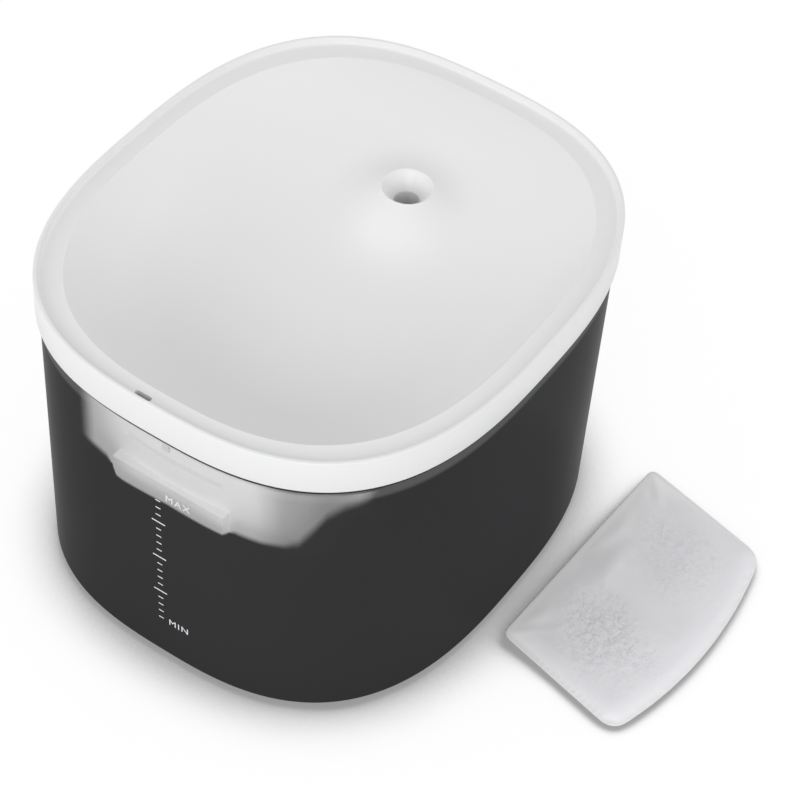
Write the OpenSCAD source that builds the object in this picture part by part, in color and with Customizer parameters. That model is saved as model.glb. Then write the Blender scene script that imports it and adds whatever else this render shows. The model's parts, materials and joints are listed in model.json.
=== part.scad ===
// Pet water fountain: smoked tank, white drinking bowl with a spout dome,
// submersible pump, filter tray under the bowl and a spare filter pouch.
// Millimetres. Origin at the centre of the foot ring on the floor,
// +Z up, the level scale's face is -Y, the lead leaves at +Y.

/* [Overall] */
// Width over the bowl's rim, along X
rim_w = 200; // [170:1:230]
// Depth over the bowl's rim, along Y
rim_d = 230; // [200:1:260]
// Height from the floor to the crest of the rim
height = 155; // [140:1:180]
// Squareness of the plan outline (2 is an ellipse)
oval_n = 2.76; // [2.5:0.01:3.4]

/* [Tank] */
// Wall thickness of the tank
tank_wall = 3; // [2.6:0.1:4]
// Thickness of the tank's floor
tank_floor = 3; // [2.6:0.1:4]
// Inset of the tank's wall from the rim, at the top
tank_inset = 1.5; // [1.2:0.1:2]
// Draft of the tank's wall over its height
tank_draft = 1; // [0.5:0.1:2]
// Radius of the tank's bottom edge
tank_edge_r = 6; // [4:0.5:9]
// Width of the rubber foot ring
foot_w = 4.4; // [3:0.1:6]
// How far the foot ring stands out under the tank
foot_out = 1.2; // [0.8:0.1:2]

/* [Bowl] */
// Height of the rim's outer band
band_h = 16; // [12:0.5:18]
// Radius of the lip's rounded edge
lip_r = 3; // [2:0.1:3.5]
// Width of the sloping shoulder at the middle of each side
shoulder_w = 7.7; // [6.5:0.1:9]
// Squareness of the shoulder's inner line
inner_n = 2.5; // [2.3:0.01:3]
// Fall of the shoulder from the lip's crest to the inner line
shoulder_fall = 2.5; // [2:0.1:3]
// Depth of the basin at its front end
basin_front = 46; // [38:0.5:50]
// Depth of the basin at its back end
basin_back = 4; // [3:0.5:8]
// Power of the basin's wall curve
basin_p = 5; // [4:0.1:6]
// Thickness of the bowl's shell
bowl_t = 2.4; // [2:0.1:3]
// Thickness of the inner skirt
skirt_t = 2; // [1.6:0.1:2.6]
// Reach of the inner skirt below the lip's crest
skirt_h = 24; // [20:0.5:28]
// Length of the drain slot across the front wall
slot_w = 44; // [30:1:60]
// Height of the drain slot
slot_h = 4.2; // [4:0.1:6]
// Length of the small slot behind the lip, left of the middle
lip_slot_l = 7.6; // [5:0.2:12]
// Width of the small slot behind the lip
lip_slot_w = 1.6; // [1.2:0.1:1.8]

/* [Spout] */
// Distance of the spout from the rim's rear edge
spout_back = 63; // [58:1:72]
// Drop of the dome's crest ring below the rim's crest
crest_drop = 13.7; // [11:0.1:16]
// Diameter of the dome's crest ring
crest_d = 21; // [19.5:0.5:24]
// Diameter at which the dome runs out into the basin
dome_d = 52; // [44:1:60]
// Diameter of the spout's bore
spout_d = 11.6; // [10.5:0.1:12.5]

/* [Filter] */
// Length of the filter's straight side
filter_l = 116; // [100:1:118]
// Depth of the filter at its middle
filter_d = 72; // [66:1:77]
// Thickness of the filter
filter_t = 9; // [7:0.5:11]
// Radius of the filter's curved side
filter_r = 195; // [150:5:240]
// Thickness of the two non-woven sheets
sheet_t = 0.8; // [0.6:0.1:1.2]
// Width of the welded flange
weld_w = 3; // [2.5:0.5:6]
// Width of the weld between the two pockets
ridge_w = 4; // [3:0.5:8]
// Radius of the filter's two corners on the curved side
front_corner = 10; // [6:1:14]
// Radius of the filter's two corners on the straight side
back_corner = 4; // [3:0.5:8]
// How far the spare filter lies out of square, per unit of depth
spare_lean = 0.2; // [0:0.05:0.3]
// Free place above the filter, under the bowl
lift_room = 7; // [5:0.5:9]

/* [Tray] */
// Wall thickness of the tray
tray_t = 2; // [1.6:0.1:2.4]
// Clearance between tray and filter
tray_gap = 1; // [0.6:0.1:1.5]
// Width of the scoop on the tray's front
scoop_w = 53; // [40:1:60]
// Height of the scoop
scoop_h = 12; // [10:0.5:16]
// Height of the overflow slit above the tray's underside
slit_z = 24; // [20:0.5:30]
// Height of the overflow slit
slit_h = 2.4; // [2:0.1:4]

/* [Pump] */
// Width of the pump, along X
pump_w = 42; // [38:1:48]
// Length of the pump's housing, along Y
pump_l = 46; // [44:1:54]
// Height of the pump's housing
pump_h = 38; // [36:1:42]
// Diameter of the rotor's shaft
shaft_d = 2.3; // [2:0.1:3]
// Bore of the pump's outlet
outlet_d = 8; // [6:0.5:9]
// Number of impeller blades
blades = 6; // [4:1:8]
// Height of the suction cups
cup_h = 5; // [4:0.5:7]

/* [Fits] */
// Radial clearance of a running fit
run_gap = 0.05; // [0.02:0.01:0.1]
// Clearance between pieces that lift off each other
lift_gap = 0.3; // [0.2:0.05:0.4]

/* [Hidden] */
ring_n = 60;
pad_n = 32;
$fn = 48;

// heights, worked out from the overall sizes
skirt_z = height - skirt_h;
band_z = height - band_h;
seat_z = height - 5.7;
line_z = height - shoulder_fall;
crest_z = height - crest_drop;
floor_z = foot_out + tank_floor;
pump_z = floor_z + cup_h;
axis_z = pump_z + pump_h / 2;
pump_top = pump_z + pump_h;

// insets from the rim's outline
tank_low = tank_inset + tank_draft;
step_in = tank_inset + tank_wall / 2 - 0.2;
tank_in = tank_inset + tank_wall;
skirt_out = tank_in + lift_gap;
skirt_in = skirt_out + skirt_t;
foot_in = tank_low + tank_edge_r + 3.3;
line_in = shoulder_w;

// spout socket and riser tube
spout_y = rim_d / 2 - spout_back;
socket_top = crest_z - 14.3;
socket_len = 13;
sleeve_r = spout_d / 2 + 2.6;
socket_r = sleeve_r + lift_gap;
boss_r = socket_r + 2.2;
riser_r = spout_d / 2 + 1;
spigot_r = outlet_d / 2 + 1.4;
spigot_h = 12;

// plan outline of the rim, moved in by o
function norm_r(c, s, n) = pow(pow(abs(c), n) + pow(abs(s), n), 1 / n);
function oval_pt(o, n, t) =
    let (c = cos(t), s = sin(t), k = norm_r(c, s, n))
    [(rim_w / 2 - o) * c / k, (rim_d / 2 - o) * s / k];
function oval(o, z, n = oval_n) =
    [for (i = [0:ring_n - 1]) let (p = oval_pt(o, n, i * 360 / ring_n))
        [p[0], p[1], z]];
function circ(r, z) =
    [for (i = [0:ring_n - 1]) let (t = i * 360 / ring_n)
        [r * cos(t), spout_y + r * sin(t), z]];

// place in the basin: 0 at the middle, 1 on the outline moved in by o
function reach(x, y, o) =
    norm_r(x / (rim_w / 2 - o), y / (rim_d / 2 - o), inner_n);
function depth_at(y, o) =
    basin_back + (basin_front - basin_back)
    * sin(90 * (rim_d / 2 - o - y) / (rim_d - 2 * o));
function basin_z(x, y, o, z0) =
    z0 - depth_at(y, o) * max(0, 1 - pow(reach(x, y, o), basin_p));
function ease(t) =
    let (c = min(1, max(0, t))) c * c * (3 - 2 * c);
function dome_blend(r) = 1 - ease((r - crest_d / 2) / (dome_d / 2 - crest_d / 2));
function top_z(x, y) =
    let (h = basin_z(x, y, line_in, line_z), r = norm([x, y - spout_y]))
    h + (crest_z - h) * dome_blend(r);
function under_z(x, y) =
    let (o = line_in - 2, h = basin_z(x, y, o, line_z - bowl_t),
         r = norm([x, y - spout_y]))
    h + (crest_z - bowl_t - h) * dome_blend(r);

// lowest place of the bowl's underside over the tray
basin_low = min([for (y = [-90:5:0]) under_z(0, y)]);
tray_z = basin_low - lift_room - filter_t - tray_t;
filter_z = tray_z + tray_t;
tray_front = -rim_d / 2 + tank_in + lift_gap + 5.2;
filter_front = tray_front + tray_t + tray_gap;
filter_back = filter_front + filter_d;

// one closed skin through a list of rings, end joined to start
function skin_faces(m, n, loop) =
    [for (i = [0:(loop ? m - 1 : m - 2)]) for (j = [0:n - 1])
        let (a = i * n, b = ((i + 1) % m) * n, k = (j + 1) % n)
        each [[a + j, b + k, a + k], [a + j, b + j, b + k]]];
function caps(m, n) =
    [[for (j = [0:n - 1]) j], [for (j = [n - 1:-1:0]) (m - 1) * n + j]];
function flat(rings) = [for (r = rings) each r];
module loop_skin(rings) {
    polyhedron(flat(rings), skin_faces(len(rings), len(rings[0]), true));
}
module capped_skin(rings) {
    m = len(rings);
    n = len(rings[0]);
    polyhedron(flat(rings), concat(skin_faces(m, n, false), caps(m, n)));
}

// ring part-way between the inner line and the dome's foot
function basin_ring(u) =
    [for (i = [0:ring_n - 1])
        let (t = i * 360 / ring_n, p = oval_pt(line_in, inner_n, t),
             q = [dome_d / 2 * cos(t), spout_y + dome_d / 2 * sin(t)],
             x = p[0] + (q[0] - p[0]) * u, y = p[1] + (q[1] - p[1]) * u)
        [x, y, top_z(x, y)]];
function dome_ring(r, under) =
    [for (i = [0:ring_n - 1])
        let (t = i * 360 / ring_n, x = r * cos(t), y = spout_y + r * sin(t))
        [x, y, under ? under_z(x, y) : top_z(x, y)]];
// funnel from the crest ring down into the bore
function funnel_ring(a) =
    let (w = (crest_d - spout_d) / 2)
    circ(crest_d / 2 - w * sin(a), crest_z - 5.5 * (1 - cos(a)));
function shoulder_ring(u) =
    [for (i = [0:ring_n - 1])
        let (t = i * 360 / ring_n, p = oval_pt(lip_r + 1, oval_n, t),
             q = oval_pt(line_in, inner_n, t), zl = height - 0.3)
        [p[0] + (q[0] - p[0]) * u, p[1] + (q[1] - p[1]) * u,
         zl + (line_z - zl) * u]];
// underside edge: inner face of the skirt meets the basin's underside
function skirt_root() =
    [for (i = [0:ring_n - 1])
        let (p = oval_pt(skirt_in, oval_n, i * 360 / ring_n))
        [p[0], p[1], under_z(p[0], p[1])]];
function under_mix(u) =
    [for (i = [0:ring_n - 1])
        let (t = i * 360 / ring_n, p = oval_pt(skirt_in, oval_n, t),
             q = [dome_d / 2 * cos(t), spout_y + dome_d / 2 * sin(t)],
             x = p[0] + (q[0] - p[0]) * u, y = p[1] + (q[1] - p[1]) * u)
        [x, y, under_z(x, y)]];

module box(x0, x1, y0, y1, z0, z1) {
    translate([x0, y0, z0])
        cube([x1 - x0, y1 - y0, z1 - z0]);
}
// cylinder along Y from y0 to y1
module rod_y(r, y0, y1, x = 0, z = axis_z) {
    translate([x, y0, z])
        rotate([-90, 0, 0])
            cylinder(r = r, h = y1 - y0);
}
module ring_z(r0, r1, z0, z1) {
    translate([0, spout_y, z0])
        difference() {
            cylinder(r = r1, h = z1 - z0);
            translate([0, 0, -1])
                cylinder(r = r0, h = z1 - z0 + 2);
        }
}
// plate in the XZ plane with rounded corners, from y0 to y1
module plate_y(w, h, r, y0, y1, z0) {
    translate([0, y1, z0])
        rotate([90, 0, 0])
            linear_extrude(height = y1 - y0)
                round_rect(w, h, r);
}
module round_rect(w, h, r) {
    translate([-w / 2 + r, 0])
        square([w - 2 * r, h]);
    translate([-w / 2, r])
        square([w, h - 2 * r]);
    for (x = [-w / 2 + r, w / 2 - r])
        for (z = [r, h - r])
            translate([x, z])
                circle(r = r);
}

// ---- tank -------------------------------------------------------------

function tank_rings() = concat(
    [oval(foot_in + foot_w, foot_out),
     oval(foot_in + foot_w, foot_out + 1.2),
     oval(foot_in, foot_out + 1.2),
     oval(foot_in, foot_out)],
    [for (a = [0:18:90])
        oval(tank_low + tank_edge_r * (1 - sin(a)),
             foot_out + tank_edge_r * (1 - cos(a)))],
    [oval(tank_inset, band_z - 0.4),
     oval(step_in, band_z - 0.4),
     oval(step_in, seat_z),
     oval(tank_in, seat_z)],
    [for (a = [90:-22.5:0])
        oval(tank_low + tank_wall + tank_edge_r * (1 - sin(a)) * 0.8,
             floor_z + tank_edge_r * 0.8 * (1 - cos(a)))]);

notch_w = 8;
notch_z = skirt_z - 1;
lead_z = notch_z + 4.4;
lead_d = 4;
rear_in = rim_d / 2 - tank_in;
rear_out = rim_d / 2 - tank_inset;

module tank() {
    color("DimGray")
        difference() {
            capped_skin(tank_rings());
            box(-notch_w / 2, notch_w / 2, rear_in - 5, rear_out + 5,
                notch_z, seat_z + 5);
        }
}

module foot_ring() {
    color("Black")
        difference() {
            linear_extrude(height = foot_out + 1.2)
                polygon([for (p = oval(foot_in, 0)) [p[0], p[1]]]);
            translate([0, 0, -1])
                linear_extrude(height = foot_out + 4)
                    polygon([for (p = oval(foot_in + foot_w, 0)) [p[0], p[1]]]);
        }
}

// rubber plug in the rear notch; the lead passes through its hole
module cable_grommet() {
    top_out = rim_d / 2 - step_in;
    lip = 1.3;
    color("Black")
        difference() {
            union() {
                box(-notch_w / 2, notch_w / 2, rear_in, rear_out + lip,
                    notch_z, band_z - 0.8);
                box(-notch_w / 2, notch_w / 2, rear_in, top_out,
                    band_z - 1, seat_z);
                box(-notch_w / 2 - 2, notch_w / 2 + 2, rear_out, rear_out + lip,
                    notch_z - 2, band_z - 0.8);
            }
            rod_y(lead_d / 2, rear_in - 1, rear_out + lip + 1, 0, lead_z);
        }
}

// ---- pump -------------------------------------------------------------

shell_t = 5.5;
cover_t = 2.5;
chamber_l = outlet_d + 5;
chamber_r = pump_h / 2 - shell_t;
pump_front = spout_y - chamber_l / 2 - cover_t - 1;
pump_back = pump_front + pump_l;
chamber_y = pump_front + cover_t + chamber_l;
well_r = 8;
well_y = pump_back - 7;
bush_r = 3;
bush_l = 4;
magnet_gap = 0.8;
magnet_r = well_r - magnet_gap;
gland_r = lead_d / 2 + 2.5;
gland_l = 7;
gland_z = pump_top - 10;
collar_w = 2.5;
collar_h = 2;
fins = 5;
fin_pitch = 4.4;
fin_gap = 1.2;
fin_h = 3.8;
plug_r = 2.2;
plug_h = 3;

module pump_body() {
    color([0.1, 0.1, 0.11])
        difference() {
            union() {
                plate_y(pump_w, pump_h, 5, pump_front, chamber_y + 3, pump_z);
                plate_y(pump_w - 4, pump_h - 3, 6, chamber_y + 2, pump_back, pump_z);
                translate([0, spout_y, pump_top - 2])
                    cylinder(r = spigot_r, h = spigot_h + 2);
                translate([0, spout_y, pump_top - 2])
                    cylinder(r = spigot_r + collar_w, h = 2 + collar_h);
                rod_y(gland_r, pump_back - 1, pump_back + gland_l, 0, gland_z);
            }
            rod_y(chamber_r, pump_front - 1, chamber_y);
            rod_y(well_r, chamber_y - 1, well_y);
            rod_y(bush_r, well_y - 1, well_y + bush_l);
            translate([0, spout_y, axis_z])
                cylinder(r = outlet_d / 2, h = pump_h);
            rod_y(lead_d / 2, pump_back - 1, pump_back + gland_l + 1, 0, gland_z);
            for (x = [-cup_x, cup_x])
                for (y = [cup_y0, cup_y1])
                    translate([x, y, pump_z - 1])
                        cylinder(r = plug_r, h = plug_h + 1);
            // cooling grooves across the back of the housing
            for (i = [0:fins - 1])
                let (y = pump_back - 3.2 - i * fin_pitch)
                    box(-pump_w, pump_w, y - fin_gap, y,
                        pump_top - fin_h, pump_top);
        }
}

// plate with the intake eye; its spigot closes the impeller's chamber
module impeller_cover() {
    eye_r = 6.5;
    color([0.1, 0.1, 0.11])
        difference() {
            union() {
                plate_y(pump_w - 4.4, pump_h - 4.4, 3.5, pump_front - 2.5,
                        pump_front, pump_z + 2.2);
                rod_y(chamber_r - run_gap, pump_front - 1, pump_front + cover_t);
            }
            difference() {
                rod_y(eye_r, pump_front - 4, pump_front + cover_t + 1);
                rod_y(bush_r + 1.2, pump_front - 4, pump_front + cover_t + 1);
                for (a = [0:120:240])
                    translate([0, 0, axis_z])
                        rotate([0, a, 0])
                            box(-0.8, 0.8, pump_front - 4,
                                pump_front + cover_t + 1, 0, eye_r + 1);
            }
            rod_y(bush_r, pump_front + cover_t - bush_l, pump_front + cover_t + 1);
        }
}

module shaft_bushes() {
    color("DarkSlateGray")
        for (y = [pump_front + cover_t - bush_l, well_y])
            difference() {
                rod_y(bush_r, y, y + bush_l);
                rod_y(shaft_d / 2, y - 1, y + bush_l + 1);
            }
}

module rotor_shaft() {
    color("White")
        rod_y(shaft_d / 2, pump_front + cover_t - bush_l + 0.3,
              well_y + bush_l - 0.3);
}

disc_t = 1.3;
hub_r = 3.6;
blade_t = 1.4;
end_gap = 0.8;
hub_y = pump_front + cover_t + end_gap;
disc_y = chamber_y - end_gap - 0.2 - disc_t;
magnet_y = chamber_y + 1;

module impeller() {
    blade_r = chamber_r - 2 * end_gap;
    color("LightSteelBlue")
        difference() {
            union() {
                rod_y(hub_r, hub_y, magnet_y);
                rod_y(blade_r, disc_y, disc_y + disc_t);
                for (i = [0:blades - 1])
                    translate([0, 0, axis_z])
                        rotate([0, i * 360 / blades, 0])
                            box(-blade_t / 2, blade_t / 2, hub_y + 2 * end_gap,
                                disc_y + disc_t / 2, hub_r * 0.8, blade_r);
            }
            rod_y(shaft_d / 2 + run_gap, hub_y - 1, magnet_y + 1);
        }
}

module rotor_magnet() {
    color("DimGray")
        difference() {
            rod_y(magnet_r, magnet_y, well_y - 1);
            rod_y(shaft_d / 2 + run_gap, magnet_y - 1, well_y);
        }
}

// strainer cap in front of the impeller cover
cap_l = 20;
cap_t = 1.8;
cap_front = pump_front - cap_l;
dial_r = 10;
port_r = 2.3;
port_pcd = 6.2;

module intake_cover() {
    in_w = pump_w - 2 * cap_t;
    in_h = pump_h - 2 * cap_t;
    color("WhiteSmoke")
        difference() {
            union() {
                difference() {
                    plate_y(pump_w, pump_h, 5, cap_front, pump_front, pump_z);
                    plate_y(in_w, in_h, 3.6, cap_front + cap_t,
                            pump_front + 1, pump_z + cap_t);
                }
                rod_y(2.5, cap_front - 3.4, cap_front + 1);
            }
            for (a = [0:90:270])
                rod_y(port_r, cap_front - 1, cap_front + cap_t + 1,
                      port_pcd * cos(a), axis_z + port_pcd * sin(a));
            for (s = [-1, 1])
                for (i = [0:2])
                    box(s * (pump_w / 2 - 7.5) - 1.1 + i * s * 0.01,
                        s * (pump_w / 2 - 7.5) + 1.1, cap_front - 1,
                        cap_front + cap_t + 1, pump_z + 6 + i * 9.5,
                        pump_z + 12 + i * 9.5);
            for (i = [0:3])
                box(-pump_w, pump_w, cap_front + 4 + i * 3.2,
                    cap_front + 5.4 + i * 3.2, pump_z + 8, pump_top - 8);
        }
}

module pump_sponge() {
    gap = 0.05;
    color("DimGray")
        plate_y(pump_w - 2 * cap_t - 2 * gap, pump_h - 2 * cap_t - gap, 3.5,
                cap_front + cap_t, pump_front - 2.5 - lift_gap, pump_z + cap_t);
}

// dial with four flow holes; a quarter of its turn shuts the ports
module flow_regulator() {
    y0 = cap_front - 2.2;
    color("LightSteelBlue")
        difference() {
            union() {
                rod_y(dial_r, y0, cap_front);
                translate([0, 0, axis_z])
                    rotate([0, 45, 0])
                        box(-1.2, 1.2, y0 - 3.2, y0 + 1, 3, dial_r);
            }
            rod_y(2.5 + run_gap, y0 - 4, cap_front + 1);
            for (a = [0:90:270])
                rod_y(port_r, y0 - 1, cap_front + 1,
                      port_pcd * cos(a), axis_z + port_pcd * sin(a));
        }
}

cup_x = pump_w / 2 - 8;
cup_y0 = pump_front + 8;
cup_y1 = pump_back - 8;

module suction_cups() {
    color("Black")
        for (x = [-cup_x, cup_x])
            for (y = [cup_y0, cup_y1])
                translate([x, y, floor_z])
                    rotate_extrude()
                        polygon([[0, 1], [4.5, 1], [6.6, 0], [7.2, 0],
                                 [6.4, 1.4], [2.6, 2.6], [2.6, cup_h],
                                 [plug_r, cup_h], [plug_r, cup_h + plug_h],
                                 [0, cup_h + plug_h]]);
}

// ---- riser ------------------------------------------------------------

module riser_tube() {
    z0 = pump_top + collar_h;
    z1 = pump_top + spigot_h + 1;
    top = socket_top - lift_gap;
    color("WhiteSmoke")
        translate([0, spout_y, 0])
            rotate_extrude()
                polygon([[spigot_r, z0], [riser_r + 1.2, z0],
                         [riser_r + 1.2, z1 + 1], [riser_r, z1 + 3],
                         [riser_r, top], [riser_r - 1.8, top],
                         [riser_r - 1.8, z1 + 2], [spigot_r, z1]]);
}

module spout_gasket() {
    z0 = socket_top - 9;
    color("DarkSlateGray")
        translate([0, spout_y, z0])
            rotate_extrude()
                polygon([[riser_r, 0], [sleeve_r - 0.7, 0], [sleeve_r, 1],
                         [sleeve_r - 0.7, 2], [sleeve_r - 0.7, 3],
                         [sleeve_r, 4], [sleeve_r - 0.7, 5], [riser_r, 5]]);
}

// ---- drinking bowl ----------------------------------------------------

wall_u = [0.02, 0.05, 0.09, 0.14, 0.2, 0.28, 0.38, 0.5, 0.64, 0.8];
under_u = [0.04, 0.1, 0.2, 0.35, 0.6, 0.82];

function bowl_rings() = concat(
    [oval(0, band_z)],
    [for (a = [0:30:90])
        oval(lip_r * (1 - cos(a)), height - lip_r * (1 - sin(a)))],
    [shoulder_ring(0), shoulder_ring(0.5), shoulder_ring(1)],
    [for (u = wall_u) basin_ring(u)],
    [for (k = [0:6]) dome_ring(dome_d / 2 - k * (dome_d - crest_d) / 12.6, false)],
    [for (a = [0:18:90]) funnel_ring(a)],
    [circ(spout_d / 2, socket_top),
     circ(socket_r, socket_top),
     circ(socket_r, socket_top - socket_len),
     circ(boss_r, socket_top - socket_len),
     dome_ring(boss_r, true)],
    [for (k = [3:-1:0]) dome_ring(dome_d / 2 - k * (dome_d / 2 - boss_r) / 4, true)],
    [for (i = [len(under_u) - 1:-1:0]) under_mix(under_u[i])],
    [skirt_root(),
     oval(skirt_in, skirt_z),
     oval(skirt_out, skirt_z),
     oval(skirt_out, seat_z),
     oval(step_in - lift_gap, seat_z),
     oval(step_in - lift_gap, band_z)]);

hanger_w = 10;
hanger_t = 3;
hanger_x0 = filter_l / 2 + tray_gap + tray_t + 2;
hanger_x1 = hanger_x0 + hanger_w;
hanger_y = filter_front + 40;
hanger_z = tray_z + 4;
pocket_h = 16;

// plate under the basin that the tray's pocket grips
module hanger() {
    my = hanger_y;
    lead_in = 1.5;
    translate([0, hanger_y + hanger_t / 2, 0])
        rotate([90, 0, 0])
            linear_extrude(height = hanger_t)
                polygon(concat(
                    [[hanger_x0, hanger_z + lead_in],
                     [hanger_x0 + lead_in, hanger_z],
                     [hanger_x1 - lead_in, hanger_z],
                     [hanger_x1, hanger_z + lead_in]],
                    [for (i = [4:-1:0]) let (x = hanger_x0 + hanger_w * i / 4)
                        [x, (top_z(x, my) + under_z(x, my)) / 2]]));
}

slot_z = line_z - 0.41 * basin_front;

module drain_slot() {
    translate([0, -rim_d / 2 + 21, 0])
        rotate([90, 0, 0])
            linear_extrude(height = 11)
                polygon(concat(
                    [for (i = [-8:8]) let (x = slot_w / 2 * i / 8)
                        [x, slot_z + 2.4 * pow(i / 8, 2)]],
                    [for (i = [7:-1:-7]) let (x = slot_w / 2 * i / 8)
                        [x, slot_z + slot_h - 0.6 * pow(i / 8, 2)]]));
}

// small slot through the groove's roof, just behind the lip's crest
module lip_slot() {
    r = lip_slot_w / 2;
    x0 = -4 - lip_slot_l + r;
    y = -rim_d / 2 + lip_r + 1;
    for (x = [x0, -4 - r])
        translate([x, y, seat_z - 1])
            cylinder(r = r, h = lip_r + 6);
    box(x0, -4 - r, y - r, y + r, seat_z - 1, height + 1);
}

module drinking_bowl() {
    color("White")
        difference() {
            union() {
                loop_skin(bowl_rings());
                hanger();
                mirror([1, 0, 0])
                    hanger();
                box(0, 3, -rim_d / 2 + skirt_out + 0.4,
                    -rim_d / 2 + skirt_in - 0.4, skirt_z - 4.5, skirt_z + 6);
            }
            drain_slot();
            lip_slot();
            box(-notch_w / 2 - 1.5, notch_w / 2 + 1.5, rim_d / 2 - skirt_in - 3,
                rim_d / 2 - skirt_out + 0.1, skirt_z - 1, lead_z + lead_d);
        }
}

// ---- filter tray ------------------------------------------------------

// moves a point sideways by its depth, for a pouch that lies out of square
function leant(x, y, lean) = [x + lean * y, y];
// D-shaped plan: straight back at yb, curved front through yf, moved out by o
function dee(l, r, yf, yb, o, lean = 0) =
    let (w = l / 2 + o, rr = r + o, cy = yf + r)
    concat([leant(w, yb + o, lean), leant(-w, yb + o, lean)],
           [for (i = [-12:12]) let (x = w * i / 12)
               leant(x, cy - sqrt(rr * rr - x * x), lean)]);
module rounded_dee(yf, yb, o, lean, r) {
    offset(r = r)
        offset(delta = -r)
            polygon(dee(filter_l, filter_r, yf, yb, o, lean));
}
// the filter's plan moved out by o, with its two pairs of corners rounded
module dee_shape(yf, yb, o, lean = 0) {
    rounded_dee(yf, yb, o, lean, front_corner + o);
    intersection() {
        rounded_dee(yf, yb, o, lean, back_corner + o);
        translate([-filter_l, (yf + yb) / 2])
            square([2 * filter_l, filter_d]);
    }
}
module tray_shape(o) {
    dee_shape(filter_front, filter_back, o);
}
module tray_wall(z0, z1) {
    translate([0, 0, z0])
        linear_extrude(height = z1 - z0)
            difference() {
                tray_shape(tray_gap + tray_t);
                tray_shape(tray_gap);
            }
}
// pocket that grips the bowl's hanger
module tray_pocket() {
    g = 0.1;
    side = hanger_t / 2 + g;
    difference() {
        box(hanger_x0 - tray_t - 1.6, hanger_x1 + g + tray_t,
            hanger_y - side - tray_t, hanger_y + side + tray_t,
            tray_z, hanger_z + pocket_h);
        box(hanger_x0 - g, hanger_x1 + g, hanger_y - side, hanger_y + side,
            hanger_z, hanger_z + pocket_h + 1);
    }
}

tray_side_h = filter_t + 6;
tray_front_h = height - 19 - tray_z;
screen_l = 8;
cheek_l = 36;
scoop_out = 2.4;
scoop_t = 1.6;
bar_w = 3.2;
slot_rows = [[22, 18], [44, 18], [63, 15]];

module filter_tray() {
    outer = tray_gap + tray_t;
    slots = 11;
    pitch = (filter_l - 8) / slots;
    x0 = -(slots * pitch - bar_w) / 2;
    color("Gainsboro")
        difference() {
            union() {
                translate([0, 0, tray_z])
                    linear_extrude(height = tray_t)
                        difference() {
                            tray_shape(outer);
                            for (i = [0:slots - 1])
                                for (row = slot_rows)
                                    translate([x0 + i * pitch,
                                               filter_back - row[0]])
                                        square([pitch - bar_w, row[1]]);
                        }
                tray_wall(tray_z, tray_z + tray_side_h);
                intersection() {
                    tray_wall(tray_z, tray_z + tray_front_h);
                    front_screen();
                }
                box(-scoop_w / 2, scoop_w / 2, tray_front - scoop_out,
                    tray_front + 2.6, tray_z, tray_z + scoop_h);
                tray_pocket();
                mirror([1, 0, 0])
                    tray_pocket();
            }
            // the scoop's well, open at the back above the filter's edge
            box(-scoop_w / 2 + scoop_t, scoop_w / 2 - scoop_t,
                tray_front - scoop_out + scoop_t, filter_front - tray_gap + 0.5,
                filter_z, tray_z + scoop_h - scoop_t);
            // overflow slit through the front wall
            box(-scoop_w / 2 + 3, scoop_w / 2 - 3, tray_front - 1,
                filter_front + 1, tray_z + slit_z, tray_z + slit_z + slit_h);
        }
}
// the high front wall's outline, seen from the side: it falls along the
// two cheeks to the height of the side walls
module front_screen() {
    w = filter_l / 2 + tray_gap + tray_t + 1;
    top = tray_z + tray_front_h;
    translate([-w, 0, 0])
        rotate([90, 0, 90])
            linear_extrude(height = 2 * w)
                polygon([[tray_front - 1, tray_z], [tray_front - 1, top],
                         [tray_front + screen_l, top],
                         [tray_front + cheek_l, tray_z + tray_side_h - 1],
                         [tray_front + cheek_l, tray_z]]);
}

// ---- filter -----------------------------------------------------------

// outline of one pocket in the filter's own frame, moved in by o;
// the filter's straight side lies on y = 0, its curved side at y < 0
pocket_w = (filter_l - ridge_w) / 2 - weld_w;
function front_at(x) = -filter_d + filter_r - sqrt(filter_r * filter_r - x * x);
function pocket_ring(side, o, z, lean = 0) =
    [for (i = [0:pad_n - 1])
        let (t = i * 360 / pad_n, c = cos(t), s = sin(t), k = norm_r(c, s, 5),
             x = side * (ridge_w / 2 + pocket_w / 2) + (pocket_w / 2 - o) * c / k,
             yf = front_at(x) + weld_w, yb = -weld_w,
             y = (yf + yb) / 2 + ((yb - yf) / 2 - o) * s / k,
             p = leant(x, y, lean))
        [p[0], p[1], z]];
pad_top = filter_t - 1;
function crown(o, t) = sheet_t + (pad_top - sheet_t) * sqrt(1 - pow(1 - min(1, o / t), 2));
pad_steps = [0.4, 1.4, 3.2, 6.5];

module filter_outline(lean) {
    dee_shape(-filter_d, 0, 0, lean);
}
module base_sheet(lean = 0) {
    linear_extrude(height = sheet_t)
        filter_outline(lean);
}
// padded granules of one pocket
module pad(side, lean) {
    capped_skin(concat(
        [pocket_ring(side, 0, sheet_t, lean)],
        [for (o = pad_steps) pocket_ring(side, o, crown(o, 6.5), lean)],
        [pocket_ring(side, 16, pad_top + 0.6, lean)]));
}
module media(lean = 0) {
    pad(-1, lean);
    pad(1, lean);
}
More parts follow.
